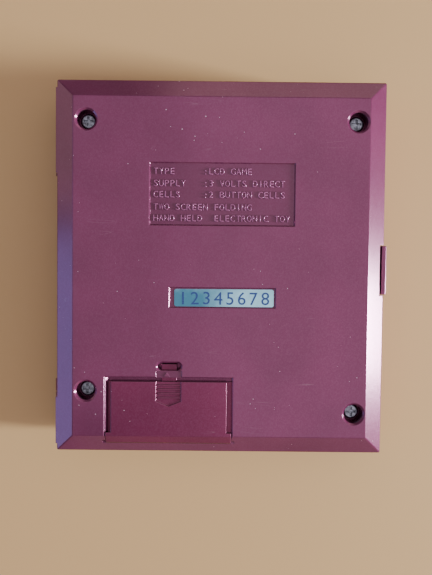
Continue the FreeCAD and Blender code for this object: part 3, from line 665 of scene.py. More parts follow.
# The lettering is moulded in the case's own ABS; its paler colour and near-white edges are painted
# highlight.
LIT_LETTER_ABS = FlakedAbs("maroon_lettering_painted_highlight", "#8a5072", 0.2, metallic=0.4, ior=1.54,
                       edge_wear_and_highlight="#e3bfd2", dust=0.0, edge_mm=0.06)
INNER_ABS = MattAbs("dark_maroon_abs", "#3c1b26", 0.5, ior=1.54, edge_wear_and_highlight="#7c4a5a")
BUTTON_ABS = MattAbs("red_button_abs", "#a3202b", 0.32, ior=1.54, edge_wear_and_highlight="#c9626a", grain_mm=0.5)
MODE_RUBBER = SiliconeRubber("dark_silicone_rubber", "#2c2b30", 0.55, ior=1.41)
DOME_RUBBER = SiliconeRubber("milky_silicone_rubber", "#b7b2a6", 0.5, ior=1.41, scatter=0.25)
TRIM_ALUMINIUM = BrushedAluminium("brushed_aluminium", "#c9c4ba", 0.34, metallic=1.0,
                                  anisotropic=0.5)
WINDOW_ACRYLIC = CastAcrylic("clear_acrylic", "#f4f6f4", 0.02, ior=1.49)
LCD_GLASS = LcdCell("lcd_cell", "#b4b99d", 0.18, ior=1.52, coat=0.5)
REFLECTOR_FOIL = PlatedMetal("reflector_foil", "#d8d8d2", 0.4, metallic=1.0, tarnish="#b3b2a8")
ZEBRA = ZebraRubber("zebra_rubber", "#1f1f20", 0.6, ior=1.41)
BOARD = PaperLaminate("phenolic_board", "#3f5530", 0.35, ior=1.55)
CASE_SCREW = PlatedMetal("zinc_plated_steel", "#80868f", 0.26, metallic=1.0, tarnish="#332f33",
                         patch_mm=0.9, share=0.85)
BRIGHT_STEEL = PlatedMetal("nickel_plated_steel", "#c4c5c4", 0.22, metallic=1.0)
SPRING_BRONZE = PlatedMetal("plated_phosphor_bronze", "#c2b79c", 0.25, metallic=1.0,
                            tarnish="#8a7348")
CELL_STEEL = PlatedMetal("polished_cell_steel", "#d0d1cf", 0.18, metallic=1.0,
                         tarnish="#9b9a94", patch_mm=2.0, share=0.4)
BUZZER_BRASS = PlatedMetal("rolled_brass", "#c7a45a", 0.28, metallic=1.0, tarnish="#8b6a35",
                           patch_mm=2.5)
CHIP_EPOXY = MattAbs("moulding_epoxy", "#1b1b1d", 0.45, ior=1.55, edge_wear_and_highlight="#3d3d40", grain_mm=0.2)
CERAMIC = MattAbs("capacitor_ceramic", "#a88b63", 0.4, ior=1.6, edge_wear_and_highlight="#cdbb9c", grain_mm=0.2)
PLATE_FILM = MetallisedFilm("metallised_polyester", "#447f94", 0.33, metallic=0.75)
FLEX_FILM = PolyimideFilm("polyimide_film", "#8a4f1c", 0.25, ior=1.7)
DIGIT_INK = PrintingInk("blue_stamp_ink", "#15356c", 0.55, thin="#35578a")
TRIM_INK = PrintingInk("maroon_screen_ink", "#5a2134", 0.5, thin="#7d4656")
CAPTION_INK = PrintingInk("black_screen_ink", "#202024", 0.5, thin="#4b4b50")
SEGMENT_INK = Finish("lcd_segment", "#262c2b", 0.25, ior=1.52)
COPPER_TRACK = PlatedMetal("tinned_copper", "#b98a5c", 0.3, metallic=1.0, tarnish="#7f9a5a")
SEAL_NYLON = MattAbs("seal_nylon", "#232326", 0.5, ior=1.53, edge_wear_and_highlight="#4a4a4e")

SLOT_FINISHES = {
    "case_plastic": CASE_ABS, "trim_metal": TRIM_ALUMINIUM, "inner_plastic": INNER_ABS,
    "window_acrylic": WINDOW_ACRYLIC, "lcd_glass": LCD_GLASS, "reflector_foil": REFLECTOR_FOIL,
    "conductive_rubber": ZEBRA, "circuit_board": BOARD, "screw_steel": CASE_SCREW,
    "button_plastic": BUTTON_ABS, "mode_button_plastic": MODE_RUBBER, "dome_rubber": DOME_RUBBER,
    "chip_plastic": CHIP_EPOXY, "bright_metal": BRIGHT_STEEL, "capacitor_ceramic": CERAMIC,
    "buzzer_brass": BUZZER_BRASS, "spring_metal": SPRING_BRONZE, "cell_steel": CELL_STEEL,
    "plate_foil": PLATE_FILM, "flex_film": FLEX_FILM,
}
NODE_FINISHES = {"battery_door": DOOR_ABS}


class Palette:
    """Makes each finish's material once and hands it out."""

    def __init__(self) -> None:
        """Starts with no materials."""
        self.made: dict[str, bpy.types.Material] = {}

    def material(self, finish: Finish) -> bpy.types.Material:
        """Gives a finish's material, made on its first use.

        Args:
            finish: The finish.

        Returns:
            Its material.
        """
        if finish.name not in self.made:
            self.made[finish.name] = finish.build()
        return self.made[finish.name]

    def dress_frame(self) -> None:
        """Gives every carried-over part its finish by its material slot."""
        for name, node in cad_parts.items():
            for slot in node.material_slots:
                finish = NODE_FINISHES.get(name, SLOT_FINISHES[slot.material.name.split(".")[0]])
                slot.material = self.material(finish)
                LOG.info("part %s: %s", name, finish.name)


# ---------------------------------------------------------------- mesh code


def put(name: str, data: bpy.types.ID) -> bpy.types.Object:
    """Makes an object and places it in the scene.

    Args:
        name: The object's name.
        data: Its mesh, curve, light or camera.

    Returns:
        The object.
    """
    holder = bpy.data.objects.new(name, data)
    bpy.context.scene.collection.objects.link(holder)
    return holder


def arc(centre: Point, radius: float, start: float, end: float, count: int) -> list[Point]:
    """Gives points along a circle's arc.

    Args:
        centre: The circle's middle.
        radius: Its radius.
        start: First angle in degrees.
        end: Last angle in degrees.
        count: How many points.

    Returns:
        The points in order.
    """
    angles = [math.radians(start + (end - start) * k / (count - 1)) for k in range(count)]
    return [(centre[0] + radius * math.cos(a), centre[1] + radius * math.sin(a)) for a in angles]


def rounded_box(half: Point, centre: Point, radius: float) -> list[Point]:
    """Gives the outline of a rectangle with rounded corners.

    Args:
        half: Half its width and length.
        centre: Its middle.
        radius: The corners' radius.

    Returns:
        Its points in order, five to a corner.
    """
    points: list[Point] = []
    for k, (sx, sy) in enumerate(((1, 1), (-1, 1), (-1, -1), (1, -1))):
        corner = (centre[0] + sx * (half[0] - radius), centre[1] + sy * (half[1] - radius))
        points += arc(corner, radius, 90.0 * k, 90.0 * (k + 1), 5)
    return points


@dataclass(frozen=True)
class Room:
    """The room of a part of the frame: its corners in metres, its measures in millimetres."""

    low: Vector
    high: Vector

    @property
    def centre(self) -> Point:
        """Gives its middle, seen from above."""
        return ((self.low.x + self.high.x) * 500.0, (self.low.y + self.high.y) * 500.0)

    @property
    def half(self) -> Point:
        """Gives half its width and length."""
        return ((self.high.x - self.low.x) * 500.0, (self.high.y - self.low.y) * 500.0)

    @property
    def top(self) -> float:
        """Gives the height of its top."""
        return self.high.z * 1000.0


@dataclass(frozen=True)
class LetterStyle:
    """How letters are cut: the most they may be wide, their weight and their rounded edge."""

    widest: float
    weight: float = 0.0
    edge: float = 0.0
    stretch: float = 1.0

    def mesh(self, letter: str, height: float, thick: float) -> bpy.types.Mesh:
        """Makes one letter as a closed mesh.

        Args:
            letter: The letter.
            height: Height of a capital, in millimetres.
            thick: Its thickness, in millimetres.

        Returns:
            The mesh, standing on y = 0 and centred on z = 0.
        """
        curve = bpy.data.curves.new("letter", "FONT")
        curve.body = letter
        curve.size = mm(height) / LETTER_CAPITAL
        curve.resolution_u = 3
        curve.bevel_resolution = 1
        curve.bevel_depth = mm(self.edge)
        curve.extrude = mm(thick / 2.0 - self.edge)
        curve.offset = mm(self.weight - self.edge)
        holder = put("letter", curve)
        shape = bpy.data.meshes.new_from_object(
            holder.evaluated_get(bpy.context.evaluated_depsgraph_get()))
        bpy.data.objects.remove(holder)
        bpy.data.curves.remove(curve)
        welded = bmesh.new()
        welded.from_mesh(shape)
        bmesh.ops.remove_doubles(welded, verts=welded.verts, dist=1e-7)
        welded.to_mesh(shape)
        welded.free()
        return shape


class Solids:
    """Collects closed solids, given in millimetres, and turns them into one mesh."""

    def __init__(self, low: float = 0.0, high: float = PRINT_THICK) -> None:
        """Starts empty.

        Args:
            low: Height of the lower face of every flat solid that is added.
            high: Height of its upper face.
        """
        self.bm = bmesh.new()
        self.low = low
        self.high = high

    def row(self, outline: list[Point], height: float) -> list[bmesh.types.BMVert]:
        """Adds an outline's corners at one height."""
        return [self.bm.verts.new((mm(x), mm(y), mm(height))) for x, y in outline]

    def wall(self, first: list[bmesh.types.BMVert], second: list[bmesh.types.BMVert]) -> None:
        """Joins two closed rows of corners with a wall.

        Args:
            first: The one row.
            second: The other, with as many corners.
        """
        for i, _ in enumerate(first):
            j = (i + 1) % len(first)
            self.bm.faces.new((first[i], first[j], second[j], second[i]))

    def slab(self, outline: list[Point]) -> None:
        """Adds a flat plate.

        Args:
            outline: Its corners in order.
        """
        bottom, top = self.row(outline, self.low), self.row(outline, self.high)
        self.bm.faces.new(bottom[::-1])
        self.bm.faces.new(top)
        self.wall(bottom, top)

    def disc(self, centre: Point, radius: float, sides: int = 24) -> None:
        """Adds a round plate."""
        self.slab(arc(centre, radius, 0.0, 360.0, sides + 1)[:-1])

    def ring(self, centre: Point, inner: float, outer: float, sides: int) -> None:
        """Adds a flat ring.

        Args:
            centre: Its middle.
            inner: Radius of its hole.
            outer: Radius of its rim.
            sides: How many sides the circle has.
        """
        profile = [(inner, self.low), (outer, self.low), (outer, self.high), (inner, self.high)]
        self.turned(profile, centre, (1.0, 1.0), sides)

    def turned(self, profile: list[Point], centre: Point, stretch: Point, sides: int) -> None:
        """Adds a solid of revolution about a line along Z.

        Args:
            profile: Radius and height round its closed section.
            centre: Where the line stands.
            stretch: Factors on its width and length.
            sides: How many steps round it.
        """
        rings = []
        for k in range(sides):
            angle = math.tau * k / sides
            rings.append([self.bm.verts.new((
                mm(centre[0] + radius * math.cos(angle) * stretch[0]),
                mm(centre[1] + radius * math.sin(angle) * stretch[1]), mm(height)))
                for radius, height in profile])
        for k in range(sides):
            self.wall(rings[k], rings[(k + 1) % sides])

    def stroke(self, points: list[Point], width: float) -> None:
        """Adds a ribbon with round ends along a run of points.

        Args:
            points: The run's points.
            width: The ribbon's width.
        """
        half = width / 2.0
        left, right = [], []
        for i, point in enumerate(points):
            before = Vector(point) - Vector(points[max(i - 1, 0)])
            after = Vector(points[min(i + 1, len(points) - 1)]) - Vector(point)
            parts = [part.normalized() for part in (before, after) if part.length > 1e-9]
            along = sum(parts, Vector((0.0, 0.0))).normalized()
            mitre = half / max(along.dot(parts[-1]), 0.5)
            across = Vector((-along.y, along.x)) * mitre
            left.append((point[0] + across.x, point[1] + across.y))
            right.append((point[0] - across.x, point[1] - across.y))
        start, end = Vector(points[0]), Vector(points[-1])
        head = math.degrees(math.atan2(*(Vector(points[1]) - start).yx))
        tail = math.degrees(math.atan2(*(end - Vector(points[-2])).yx))
        cap_start = arc(points[0], half, head + 90.0, head + 270.0, 6)[1:-1]
        cap_end = arc(points[-1], half, tail - 90.0, tail + 90.0, 6)[1:-1]
        self.slab(right + cap_end + left[::-1] + cap_start)

    def frame_line(self, half: Point, centre: Point, radius: float, width: float) -> None:
        """Adds a rectangular line with rounded corners.

        Args:
            half: Half its outer width and length.
            centre: Its middle.
            radius: Radius of its outer corners.
            width: The line's width.
        """
        outer = rounded_box(half, centre, radius)
        inner = rounded_box((half[0] - width, half[1] - width), centre, max(radius - width, 0.05))
        rows = [self.row(outline, height) for outline, height in (
            (inner, self.low), (outer, self.low), (outer, self.high), (inner, self.high))]
        for k, row in enumerate(rows):
            self.wall(row, rows[(k + 1) % len(rows)])

    def letters(self, text: str, at: Point, height: float, pitch: float,
                style: LetterStyle) -> None:
        """Adds a line of letters at an even pitch.

        Args:
            text: The line.
            at: The first letter's cell: its middle and its foot.
            height: Height of a capital.
            pitch: Distance from one letter's middle to the next.
            style: How wide, heavy and rounded they are.
        """
        for k, letter in enumerate(text):
            if letter == " ":
                continue
            shape = style.mesh(letter, height, self.high - self.low)
            lowest = min(v.co.x for v in shape.vertices)
            highest = max(v.co.x for v in shape.vertices)
            squeeze = min(1.0, mm(style.widest) / (highest - lowest))
            stretch = style.stretch if squeeze == 1.0 else squeeze
            spot = (mm(at[0] + k * pitch), mm(at[1]), mm((self.low + self.high) / 2.0))
            move = (Matrix.Translation(spot) @ Matrix.Diagonal((stretch, 1.0, 1.0, 1.0))
                    @ Matrix.Translation((-(lowest + highest) / 2.0, 0.0, 0.0)))
            shape.transform(move)
            self.bm.from_mesh(shape)
            bpy.data.meshes.remove(shape)

    def mesh(self, name: str, move: Matrix, smooth: float) -> bpy.types.Mesh:
        """Gives the collected solids as one mesh.

        Args:
            name: The mesh's name.
            move: Where it goes, in metres of the frame.
            smooth: Edges flatter than this, in degrees, are shaded smooth.

        Returns:
            The mesh, with its normals outward.
        """
        bmesh.ops.recalc_face_normals(self.bm, faces=self.bm.faces)
        shape = bpy.data.meshes.new(name)
        self.bm.to_mesh(shape)
        self.bm.free()
        shape.transform(move)
        if move.determinant() < 0.0:
            shape.flip_normals()
        shape.shade_smooth()
        shape.set_sharp_from_angle(angle=math.radians(smooth))
        return shape


# ---------------------------------------------------------------- assemblies


class Half(Enum):
    """The two halves of the case: the body each rides on and the way its inside faces."""

    BASE = "base"
    LID = "lid"

    def height(self, depth: float) -> float:
        """Gives the frame height of a depth below the seam, in millimetres."""
        return SEAM_Z + depth if self is Half.BASE else SEAM_Z - depth

    def onto(self, centre: Point, depth: float) -> Matrix:
        """Turns a flat drawing onto the half's inner side.

        Args:
            centre: Where the drawing's middle goes, in millimetres of the frame.
            depth: How far below the seam the drawing's foot lies.

        Returns:
            The move, after which the drawing reads upright with the case open.
        """
        place = Matrix.Translation((mm(centre[0]), mm(centre[1]), mm(self.height(depth))))
        return place @ UNDER if self is Half.BASE else place


@dataclass
class Assembly:
    """A group of pieces that ride on one body."""

    palette: Palette
    body: str

    def add(self, name: str, solids: Solids, finish: Finish, slot: str, *replaced: str,
            move: Matrix = IN_PLACE, smooth: float = 30.0) -> bpy.types.Object:
        """Makes a piece, dresses it and lets it ride.

        Args:
            name: The piece's name.
            solids: Its shape.
            finish: Its finish.
            slot: The record's material slot that the finish belongs to; not used.
            *replaced: Parts of the frame that it stands for.
            move: Where the shape goes, in metres of the frame.
            smooth: Edges flatter than this, in degrees, are shaded smooth.

        Returns:
            The piece.
        """
        shape = solids.mesh(name, move, smooth)
        shape.materials.append(self.palette.material(finish))
        piece = put(name, shape)
        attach(piece, self.body)
        if replaced:
            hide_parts(*replaced)
        LOG.info("piece %s on %s: %d faces", name, self.body, len(shape.polygons))
        return piece


@dataclass
class RearMarkings(Assembly):
    """What the back of the case says: moulded lettering and the stuck-on number plate."""

    letter_height: float = 1.5
    letter_pitch: float = 1.24
    letter_rise: float = 0.3
    panel_left: float = -14.75
    panel_floor: float = 22.6
    row_centres: tuple[float, ...] = (21.8, 19.1, 16.6, 13.8, 11.3)
    rows: tuple[str, ...] = (
        "TYPE     :LCD GAME",
        "SUPPLY   :3 VOLTS DIRECT",
        "CELLS    :2 BUTTON CELLS",
        "TWO SCREEN FOLDING",
        "HAND HELD  ELECTRONIC TOY",
    )
    plate_corner: float = 0.35
    plate_squares: tuple[int, int] = (76, 14)
    plate_inset: float = 0.03
    plate_ragged: float = 0.09
    plate_wave: float = 0.012
    digits: str = "12345678"
    digit_height: float = 3.0
    digit_pitch: float = 2.66
    digit_inset: float = 2.0
    digit_slip: float = 0.06
    digit_rise: float = 0.015
    # Lettering and digits stand this deep in what they stand on, so that no gap shows.
    root: float = 0.02

    def lettering(self) -> None:
        """Builds the raised lines in the sunk panel."""
        raised = Solids(self.panel_floor - self.root, self.panel_floor + self.letter_rise)
        style = LetterStyle(widest=1.12, weight=0.05, edge=0.1, stretch=1.05)
        for text, centre in zip(self.rows, self.row_centres):
            raised.letters(text, (self.panel_left, centre - self.letter_height / 2.0),
                           self.letter_height, self.letter_pitch, style)
        self.add("rating_lettering", raised, LIT_LETTER_ABS, "case_plastic", smooth=50.0)

    def plate(self) -> None:
        """Builds the plate as thin film, with a ragged right end and a slight wave."""
        room = Room(*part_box("number_plate"))
        columns, rows = self.plate_squares
        film = Solids()
        grid = [[self.film_corner(film, room, 2.0 * i / columns - 1.0, 2.0 * j / rows - 1.0)
                 for j in range(rows + 1)] for i in range(columns + 1)]
        for i in range(columns):
            for j in range(rows):
                square = ((i, j), (i + 1, j), (i + 1, j + 1), (i, j + 1))
                for side in (0, 1):
                    film.bm.faces.new([grid[a][b][side] for a, b in square])
        rim = [(i, 0) for i in range(columns)] + [(columns, j) for j in range(rows)]
        rim += [(i, rows) for i in range(columns, 0, -1)] + [(0, j) for j in range(rows, 0, -1)]
        film.wall([grid[a][b][0] for a, b in rim], [grid[a][b][1] for a, b in rim])
        self.add("number_plate_film", film, PLATE_FILM, "plate_foil", "number_plate", smooth=60.0)

    def film_corner(self, film: Solids, room: Room, u: float,
                    v: float) -> tuple[bmesh.types.BMVert, bmesh.types.BMVert]:
        """Adds one point of the film's grid.

        Args:
            film: The film so far.
            room: The plate's room in the frame.
            u: Share of the way from the middle to the right end.
            v: Share of the way from the middle to the upper edge.

        Returns:
            The point on the film's face and the one under it on its foot.
        """
        reach = room.half[0] - self.corner_cut(abs(v) * room.half[1], room.half[1])
        ragged = self.plate_ragged * noise.noise(Vector((5.0, v * 4.0, 0.0))) if u > 0.0 else 0.0
        x = room.centre[0] + u * (reach - self.plate_inset + ragged * abs(u) ** 8)
        y = room.centre[1] + v * room.half[1]
        wave = self.plate_wave * noise.noise(Vector((x * 0.7, y * 0.25, 3.0)))
        face = (mm(x), mm(y), mm(room.top - self.plate_wave + wave))
        return film.bm.verts.new(face), film.bm.verts.new((mm(x), mm(y), room.low.z))

    def corner_cut(self, across: float, half: float) -> float:
        """Gives how much a rounded corner takes off the plate's end.

        Args:
            across: Distance from the plate's middle line.
            half: Half the plate's length across.

        Returns:
            The cut at that distance.
        """
        into = across - (half - self.plate_corner)
        if into <= 0.0:
            return 0.0
        return self.plate_corner - math.sqrt(max(self.plate_corner ** 2 - into ** 2, 0.0))

    def plate_digits(self) -> None:
        """Builds the stamped digits on the plate, each slipped a little up or down."""
        room = Room(*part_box("number_plate"))
        start = room.low.x * 1000.0 + self.digit_inset
        stamped = Solids(room.top - self.root, room.top + self.digit_rise)
        slip = random.Random(11)
        for k, digit in enumerate(self.digits):
            foot = (room.centre[1] - self.digit_height / 2.0
                    + slip.uniform(-self.digit_slip, self.digit_slip))
            stamped.letters(digit, (start + k * self.digit_pitch, foot), self.digit_height,
                            self.digit_pitch, LetterStyle(widest=2.0))
        self.add("number_plate_digits", stamped, DIGIT_INK, "plate_foil")

    def build(self) -> None:
        """Builds all the markings."""
        self.lettering()
        self.plate()
        self.plate_digits()


# Which of the seven bars each digit lights: top, upper right, lower right, bottom,
# lower left, upper left, middle.
LIT_BARS = {
    "0": "1111110", "1": "0110000", "2": "1101101", "3": "1111001", "4": "0110011",
    "5": "1011011", "6": "1011111", "7": "1110000", "8": "1111111", "9": "1111011",
}


@dataclass
class InnerFace(Assembly):
    """What is seen inside an open half: the print on its trim plate and its lit segments."""

    half: Half = Half.BASE
    title: str = "LCD GAME"
    # Trim plate: border and button marks, measured from its middle.
    border: Point = (32.65, 37.65)
    border_ends: Point = (-6.9, 23.9)
    button_x: float = 28.2
    button_rows: tuple[Point, ...] = ((17.0, 1.0), (0.0, -1.0))
    ring_radius: float = 6.3
    arrow_tip: float = 9.0
    arrow_size: Point = (1.2, 1.8)
    key_captions: tuple[tuple[str, float], ...] = (
        ("GAME A", -22.0), ("GAME B", -11.0), ("TIME", 0.0), ("ALARM", 8.6), ("RESET", 15.2))
    # Screen: digits, then the storeys of the playfield.
    digit_size: Point = (2.1, 4.0)
    digit_gap: float = 0.28
    digit_slant: float = 0.1
    digit_foot: float = 9.8
    digit_step: float = 3.3
    segment_width: float = 0.5
    ledges: tuple[Point, ...] = ((-19.0, 12.0), (-12.0, 19.0), (-19.0, 19.0))
    ledge_top: float = 5.0
    storey: float = 8.2
    strut_step: float = 2.4
    ladder_x: float = 10.0
    rung_step: float = 1.3
    fine_line: float = 0.22

    def trim_lines(self) -> None:
        """Prints the window's frames, the border and the marks round the game buttons."""
        lines = Solids()
        flip = -1.0 if self.half is Half.BASE else 1.0
        for grow, width in ((1.6, 0.9), (3.0, 0.3)):
            half = (WINDOW_HALF[0] + grow, WINDOW_HALF[1] + grow)
            lines.frame_line(half, (flip * WINDOW_CENTRE[0], WINDOW_CENTRE[1]), 1.2, width)
        # The border stops short of the buttons, which reach to the plate's edge.
        side, top = flip * self.border[0], self.border[1]
        lines.stroke([(side, self.border_ends[0]), (side, -top), (-side, -top), (-side, top),
                      (side, top), (side, self.border_ends[1])], 0.5)
        for k in range(5):
            end, y = 26.0 - k * 0.2, -20.0 - k * 1.1
            lines.stroke([(-end, y), (end, y)], 0.35)
        button = flip * self.button_x
        start = 45.0 if flip > 0.0 else -135.0
        wing, length = self.arrow_size
        for y, up in self.button_rows:
            lines.stroke(arc((button, y), self.ring_radius, start, start + 270.0, 40), 0.4)
            tip = y + up * self.arrow_tip
            lines.slab([(button - wing, tip - up * length), (button + wing, tip - up * length),
                        (button, tip)][::int(up)])
        self.add_print("trim_lines", lines, TRIM_INK)

    def trim_captions(self) -> None:
        """Prints the title and the captions."""
        words = Solids()
        self.caption(words, self.title, (0.0, -33.0), 2.4, 2.6, 2.2)
        if self.half is Half.BASE:
            for text, x in self.key_captions:
                self.caption(words, text, (-x, -10.9), 1.15, 1.12, 1.0)
        else:
            self.caption(words, "TWO SCREENS", (0.0, -12.0), 1.6, 1.8, 1.5)
        self.add_print("trim_captions", words, CAPTION_INK)

    def caption(self, words: Solids, text: str, middle: Point, height: float, pitch: float,
                widest: float) -> None:
        """Adds a caption about its middle.

        Args:
            words: Takes the letters.
            text: What the caption says.
            middle: Its middle.
            height: Height of a capital.
            pitch: Distance from one letter's middle to the next.
            widest: The most a letter may be wide.
        """
        start = middle[0] - pitch * (len(text) - 1) / 2.0
        words.letters(text, (start, middle[1] - height / 2.0), height, pitch, LetterStyle(widest))

    def add_print(self, kind: str, layer: Solids, ink: Finish) -> None:
        """Adds a layer of print on the trim plate."""
        self.add(f"{self.half.value}_{kind}", layer, ink, "trim_metal",
                 move=self.half.onto((0.0, 0.0), FACEPLATE_DEPTH))

    def digit(self, lit: Solids, digit: str, at: Point) -> None:
        """Adds one seven-bar digit.

        Args:
            lit: Takes the bars.
            digit: The digit.
            at: Its lower left corner.
        """
        width, height = self.digit_size
        middle, gap = height / 2.0, self.digit_gap
        ends = (((gap, height), (width - gap, height)),
                ((width, height - gap), (width, middle + gap)),
                ((width, middle - gap), (width, gap)),
                ((gap, 0.0), (width - gap, 0.0)),
                ((0.0, gap), (0.0, middle - gap)),
                ((0.0, middle + gap), (0.0, height - gap)),
                ((gap, middle), (width - gap, middle)))
        for on, run in zip(LIT_BARS[digit], ends):
            if on == "1":
                points = [(at[0] + x + y * self.digit_slant, at[1] + y) for x, y in run]
                lit.stroke(points, self.segment_width)

    def readout(self, lit: Solids) -> None:
        """Lights the clock on the base or the score on the lid."""
        text, x = ("12:34", -18.5) if self.half is Half.BASE else ("120", 8.0)
        for letter in text:
            if letter == ":":
                for y in (1.1, 2.9):
                    dot = (x + 0.1 + y * self.digit_slant, self.digit_foot + y)
                    lit.disc(dot, 0.3, 12)
                x += 1.2
            else:
                self.digit(lit, letter, (x, self.digit_foot))
                x += self.digit_step

    def playfield(self, lit: Solids) -> None:
        """Lights three strutted ledges with a ladder between each two."""
        for level, (left, right) in enumerate(self.ledges):
            y = self.ledge_top - level * self.storey
            lit.stroke([(left, y), (right, y)], 0.35)
            for k in range(int((right - left) / self.strut_step)):
                x = left + k * self.strut_step
                lit.stroke([(x + 0.8, y - 0.35), (x + 1.6, y - 1.1)], self.fine_line)
        middle = self.ladder_x if self.half is Half.BASE else -self.ladder_x
        for level in (1, 2):
            foot = self.ledge_top - level * self.storey + 0.5
            for side in (middle - 0.9, middle + 0.9):
                lit.stroke([(side, foot), (side, foot + 7.0)], 0.3)
            for rung in range(5):
                y = foot + 0.9 + rung * self.rung_step
                lit.stroke([(middle - 0.7, y), (middle + 0.7, y)], self.fine_line)
            middle = -middle

    def crates_and_balls(self, lit: Solids) -> None:
        """Scatters crates and balls on the ledges, clear of the ladders."""
        places = random.Random(3 if self.half is Half.BASE else 5)
        for level in range(len(self.ledges)):
            for _ in range(3):
                x, y = places.uniform(-16.0, 16.0), self.ledge_top + 1.2 - level * self.storey
                if abs(abs(x) - self.ladder_x) < 2.8 or x < -7.0 and level == 0:
                    continue
                if places.random() < 0.5:
                    lit.disc((x, y), 0.85)
                else:
                    lit.frame_line((1.1, 1.0), (x, y), 0.2, 0.3)
                    lit.stroke([(x - 0.7, y - 0.6), (x + 0.7, y + 0.6)], 0.25)

    def build(self) -> None:
        """Builds the print and the segments."""
        self.trim_lines()
        self.trim_captions()
        lit = Solids()
        self.readout(lit)
        self.playfield(lit)
        self.crates_and_balls(lit)
        self.add(f"{self.half.value}_lcd_segments", lit, SEGMENT_INK, "lcd_glass",
                 move=self.half.onto(WINDOW_CENTRE, LCD_DEPTH))


@dataclass
class ContactDomes(Assembly):
    """Silicone contact domes between the buttons and a board, each with a hollow and a pill."""

    half: Half = Half.BASE
    travel: float = 0.8
    sides: int = 40
    game_foot: float = 4.4
    mode_foot: float = 2.4

    def dome(self, node: str, joint: str, widest: float) -> None:
        """Builds a dome in the room of its part of the frame.

        Args:
            node: The part that it stands for.
            joint: The button's joint; not used.
            widest: Radius of its foot in a round section, in millimetres.
        """
        room = Room(*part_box(node))
        near, far = DOME_DEPTH
        # Share of the radius and depth: the pill and the hollow, the foot, the skirt, the crown.
        section = [(0.0, far - 0.75), (0.42, far - 0.75), (0.46, far - 1.0), (0.7, far - 1.3),
                   (0.84, far - 0.6), (0.86, far), (1.0, far), (1.0, far - 0.28),
                   (0.93, far - 0.34), (0.86, far - 0.7), (0.7, near + 0.32), (0.6, near + 0.1),
                   (0.56, near), (0.0, near)]
        rubber = Solids()
        profile = [(share * widest, self.half.height(depth)) for share, depth in section[1:-1]]
        stretch = (room.half[0] / widest, room.half[1] / widest)
        rubber.turned(profile, room.centre, stretch, self.sides)
        self.close_middle(rubber)
        piece = self.add(f"{node}_rubber", rubber, DOME_RUBBER, "dome_rubber", node, smooth=50.0)
        anchor = (mm(room.centre[0]), mm(room.centre[1]), mm(self.half.height(far)))
        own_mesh(piece)

    def close_middle(self, rubber: Solids) -> None:
        """Swaps the wall that the section's open side leaves for two flat caps.

        Args:
            rubber: The dome so far.
        """
        rubber.bm.verts.ensure_lookup_table()
        points = list(rubber.bm.verts)
        count = len(points) // self.sides
        rims = points[::count], points[count - 1::count]
        middle = set(rims[0] + rims[1])
        walls = [f for f in rubber.bm.faces if all(v in middle for v in f.verts)]
        bmesh.ops.delete(rubber.bm, geom=walls, context="FACES_ONLY")
        for rim in rims:
            rubber.bm.faces.new(rim)

    def build(self) -> None:
        """Builds this half's domes."""
        hand = "left" if self.half is Half.BASE else "right"
        for side in ("upper", "lower"):
            self.dome(f"{hand}_dome_{side}", f"{hand}_button_{side}_press", self.game_foot)
        if self.half is Half.BASE:
            for name in ("game_a", "game_b", "time"):
                self.dome(f"{name}_dome", f"{name}_button_press", self.mode_foot)


@dataclass
class BoardTracks(Assembly):
    """Etched tracks and their solder pads on the hidden side of a board."""

    half: Half = Half.BASE
    track_width: float = 0.45
    track_thick: float = 0.03
    pad: Point = (0.28, 0.65)
    pad_thick: float = 0.045
    runs: int = 18
    bend: float = 1.1
    margin: float = 4.0
    head_margin: float = 3.0

    def build(self) -> None:
        """Builds the tracks and pads as one piece."""
        room = Room(*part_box(f"{self.half.value}_board"))
        left, right = room.low.x * 1000.0 + self.margin, room.high.x * 1000.0 - self.margin
        foot, head = room.low.y * 1000.0 + self.margin, room.high.y * 1000.0 - self.head_margin
        copper = Solids(high=self.track_thick)
        pads: list[Point] = []
        draw = random.Random(21 if self.half is Half.BASE else 34)
        for k in range(self.runs):
            y = foot + (head - foot) * (k + 0.5) / self.runs
            start = draw.uniform(left, left + 18.0)
            turn = start + draw.uniform(6.0, 14.0)
            step = draw.choice((-1.0, 1.0)) * self.bend
            end = min(turn + draw.uniform(10.0, 30.0), right)
            points = [(start, y), (turn, y), (turn + self.bend, y + step), (end, y + step)]
            copper.stroke(points, self.track_width)
            pads += [points[0], points[-1]]
        copper.high = self.pad_thick
        for spot in pads:
            copper.ring(spot, *self.pad, 20)
        move = Matrix.Translation((0.0, 0.0, mm(self.half.height(BOARD_BACK_DEPTH))))
        if self.half is Half.LID:
            move = move @ Matrix.Diagonal((1.0, 1.0, -1.0, 1.0))
        self.add(f"{self.half.value}_board_tracks", copper, COPPER_TRACK, "circuit_board",
                 move=move)


@dataclass
class CellMarks(Assembly):
    """Small parts that tell the two cells' ends apart: a pressed plus and a nylon seal."""

    rise: float = 0.02
    plus_arm: float = 1.1
    plus_offset: float = 3.2

    def build(self) -> None:
        """Builds the plus on the outer cell and the seal ring on the inner one."""
        room = Room(*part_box("battery_cell_outer"))
        plus = Solids(room.top - 0.01, room.top + self.rise)
        x, y = room.centre[0], room.centre[1] - self.plus_offset
        for dx, dy in ((self.plus_arm, 0.0), (0.0, self.plus_arm)):
            plus.stroke([(x - dx, y - dy), (x + dx, y + dy)], 0.4)
        plus.ring(room.centre, 4.7, 4.85, 48)
        self.add("cell_plus_mark", plus, CELL_STEEL, "cell_steel")
        room = Room(*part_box("battery_cell_inner"))
        seal = Solids(room.top - 0.02, room.top + self.rise)
        seal.ring(room.centre, 4.75, 5.05, 48)
        self.add("cell_seal", seal, SEAL_NYLON, "cell_steel")


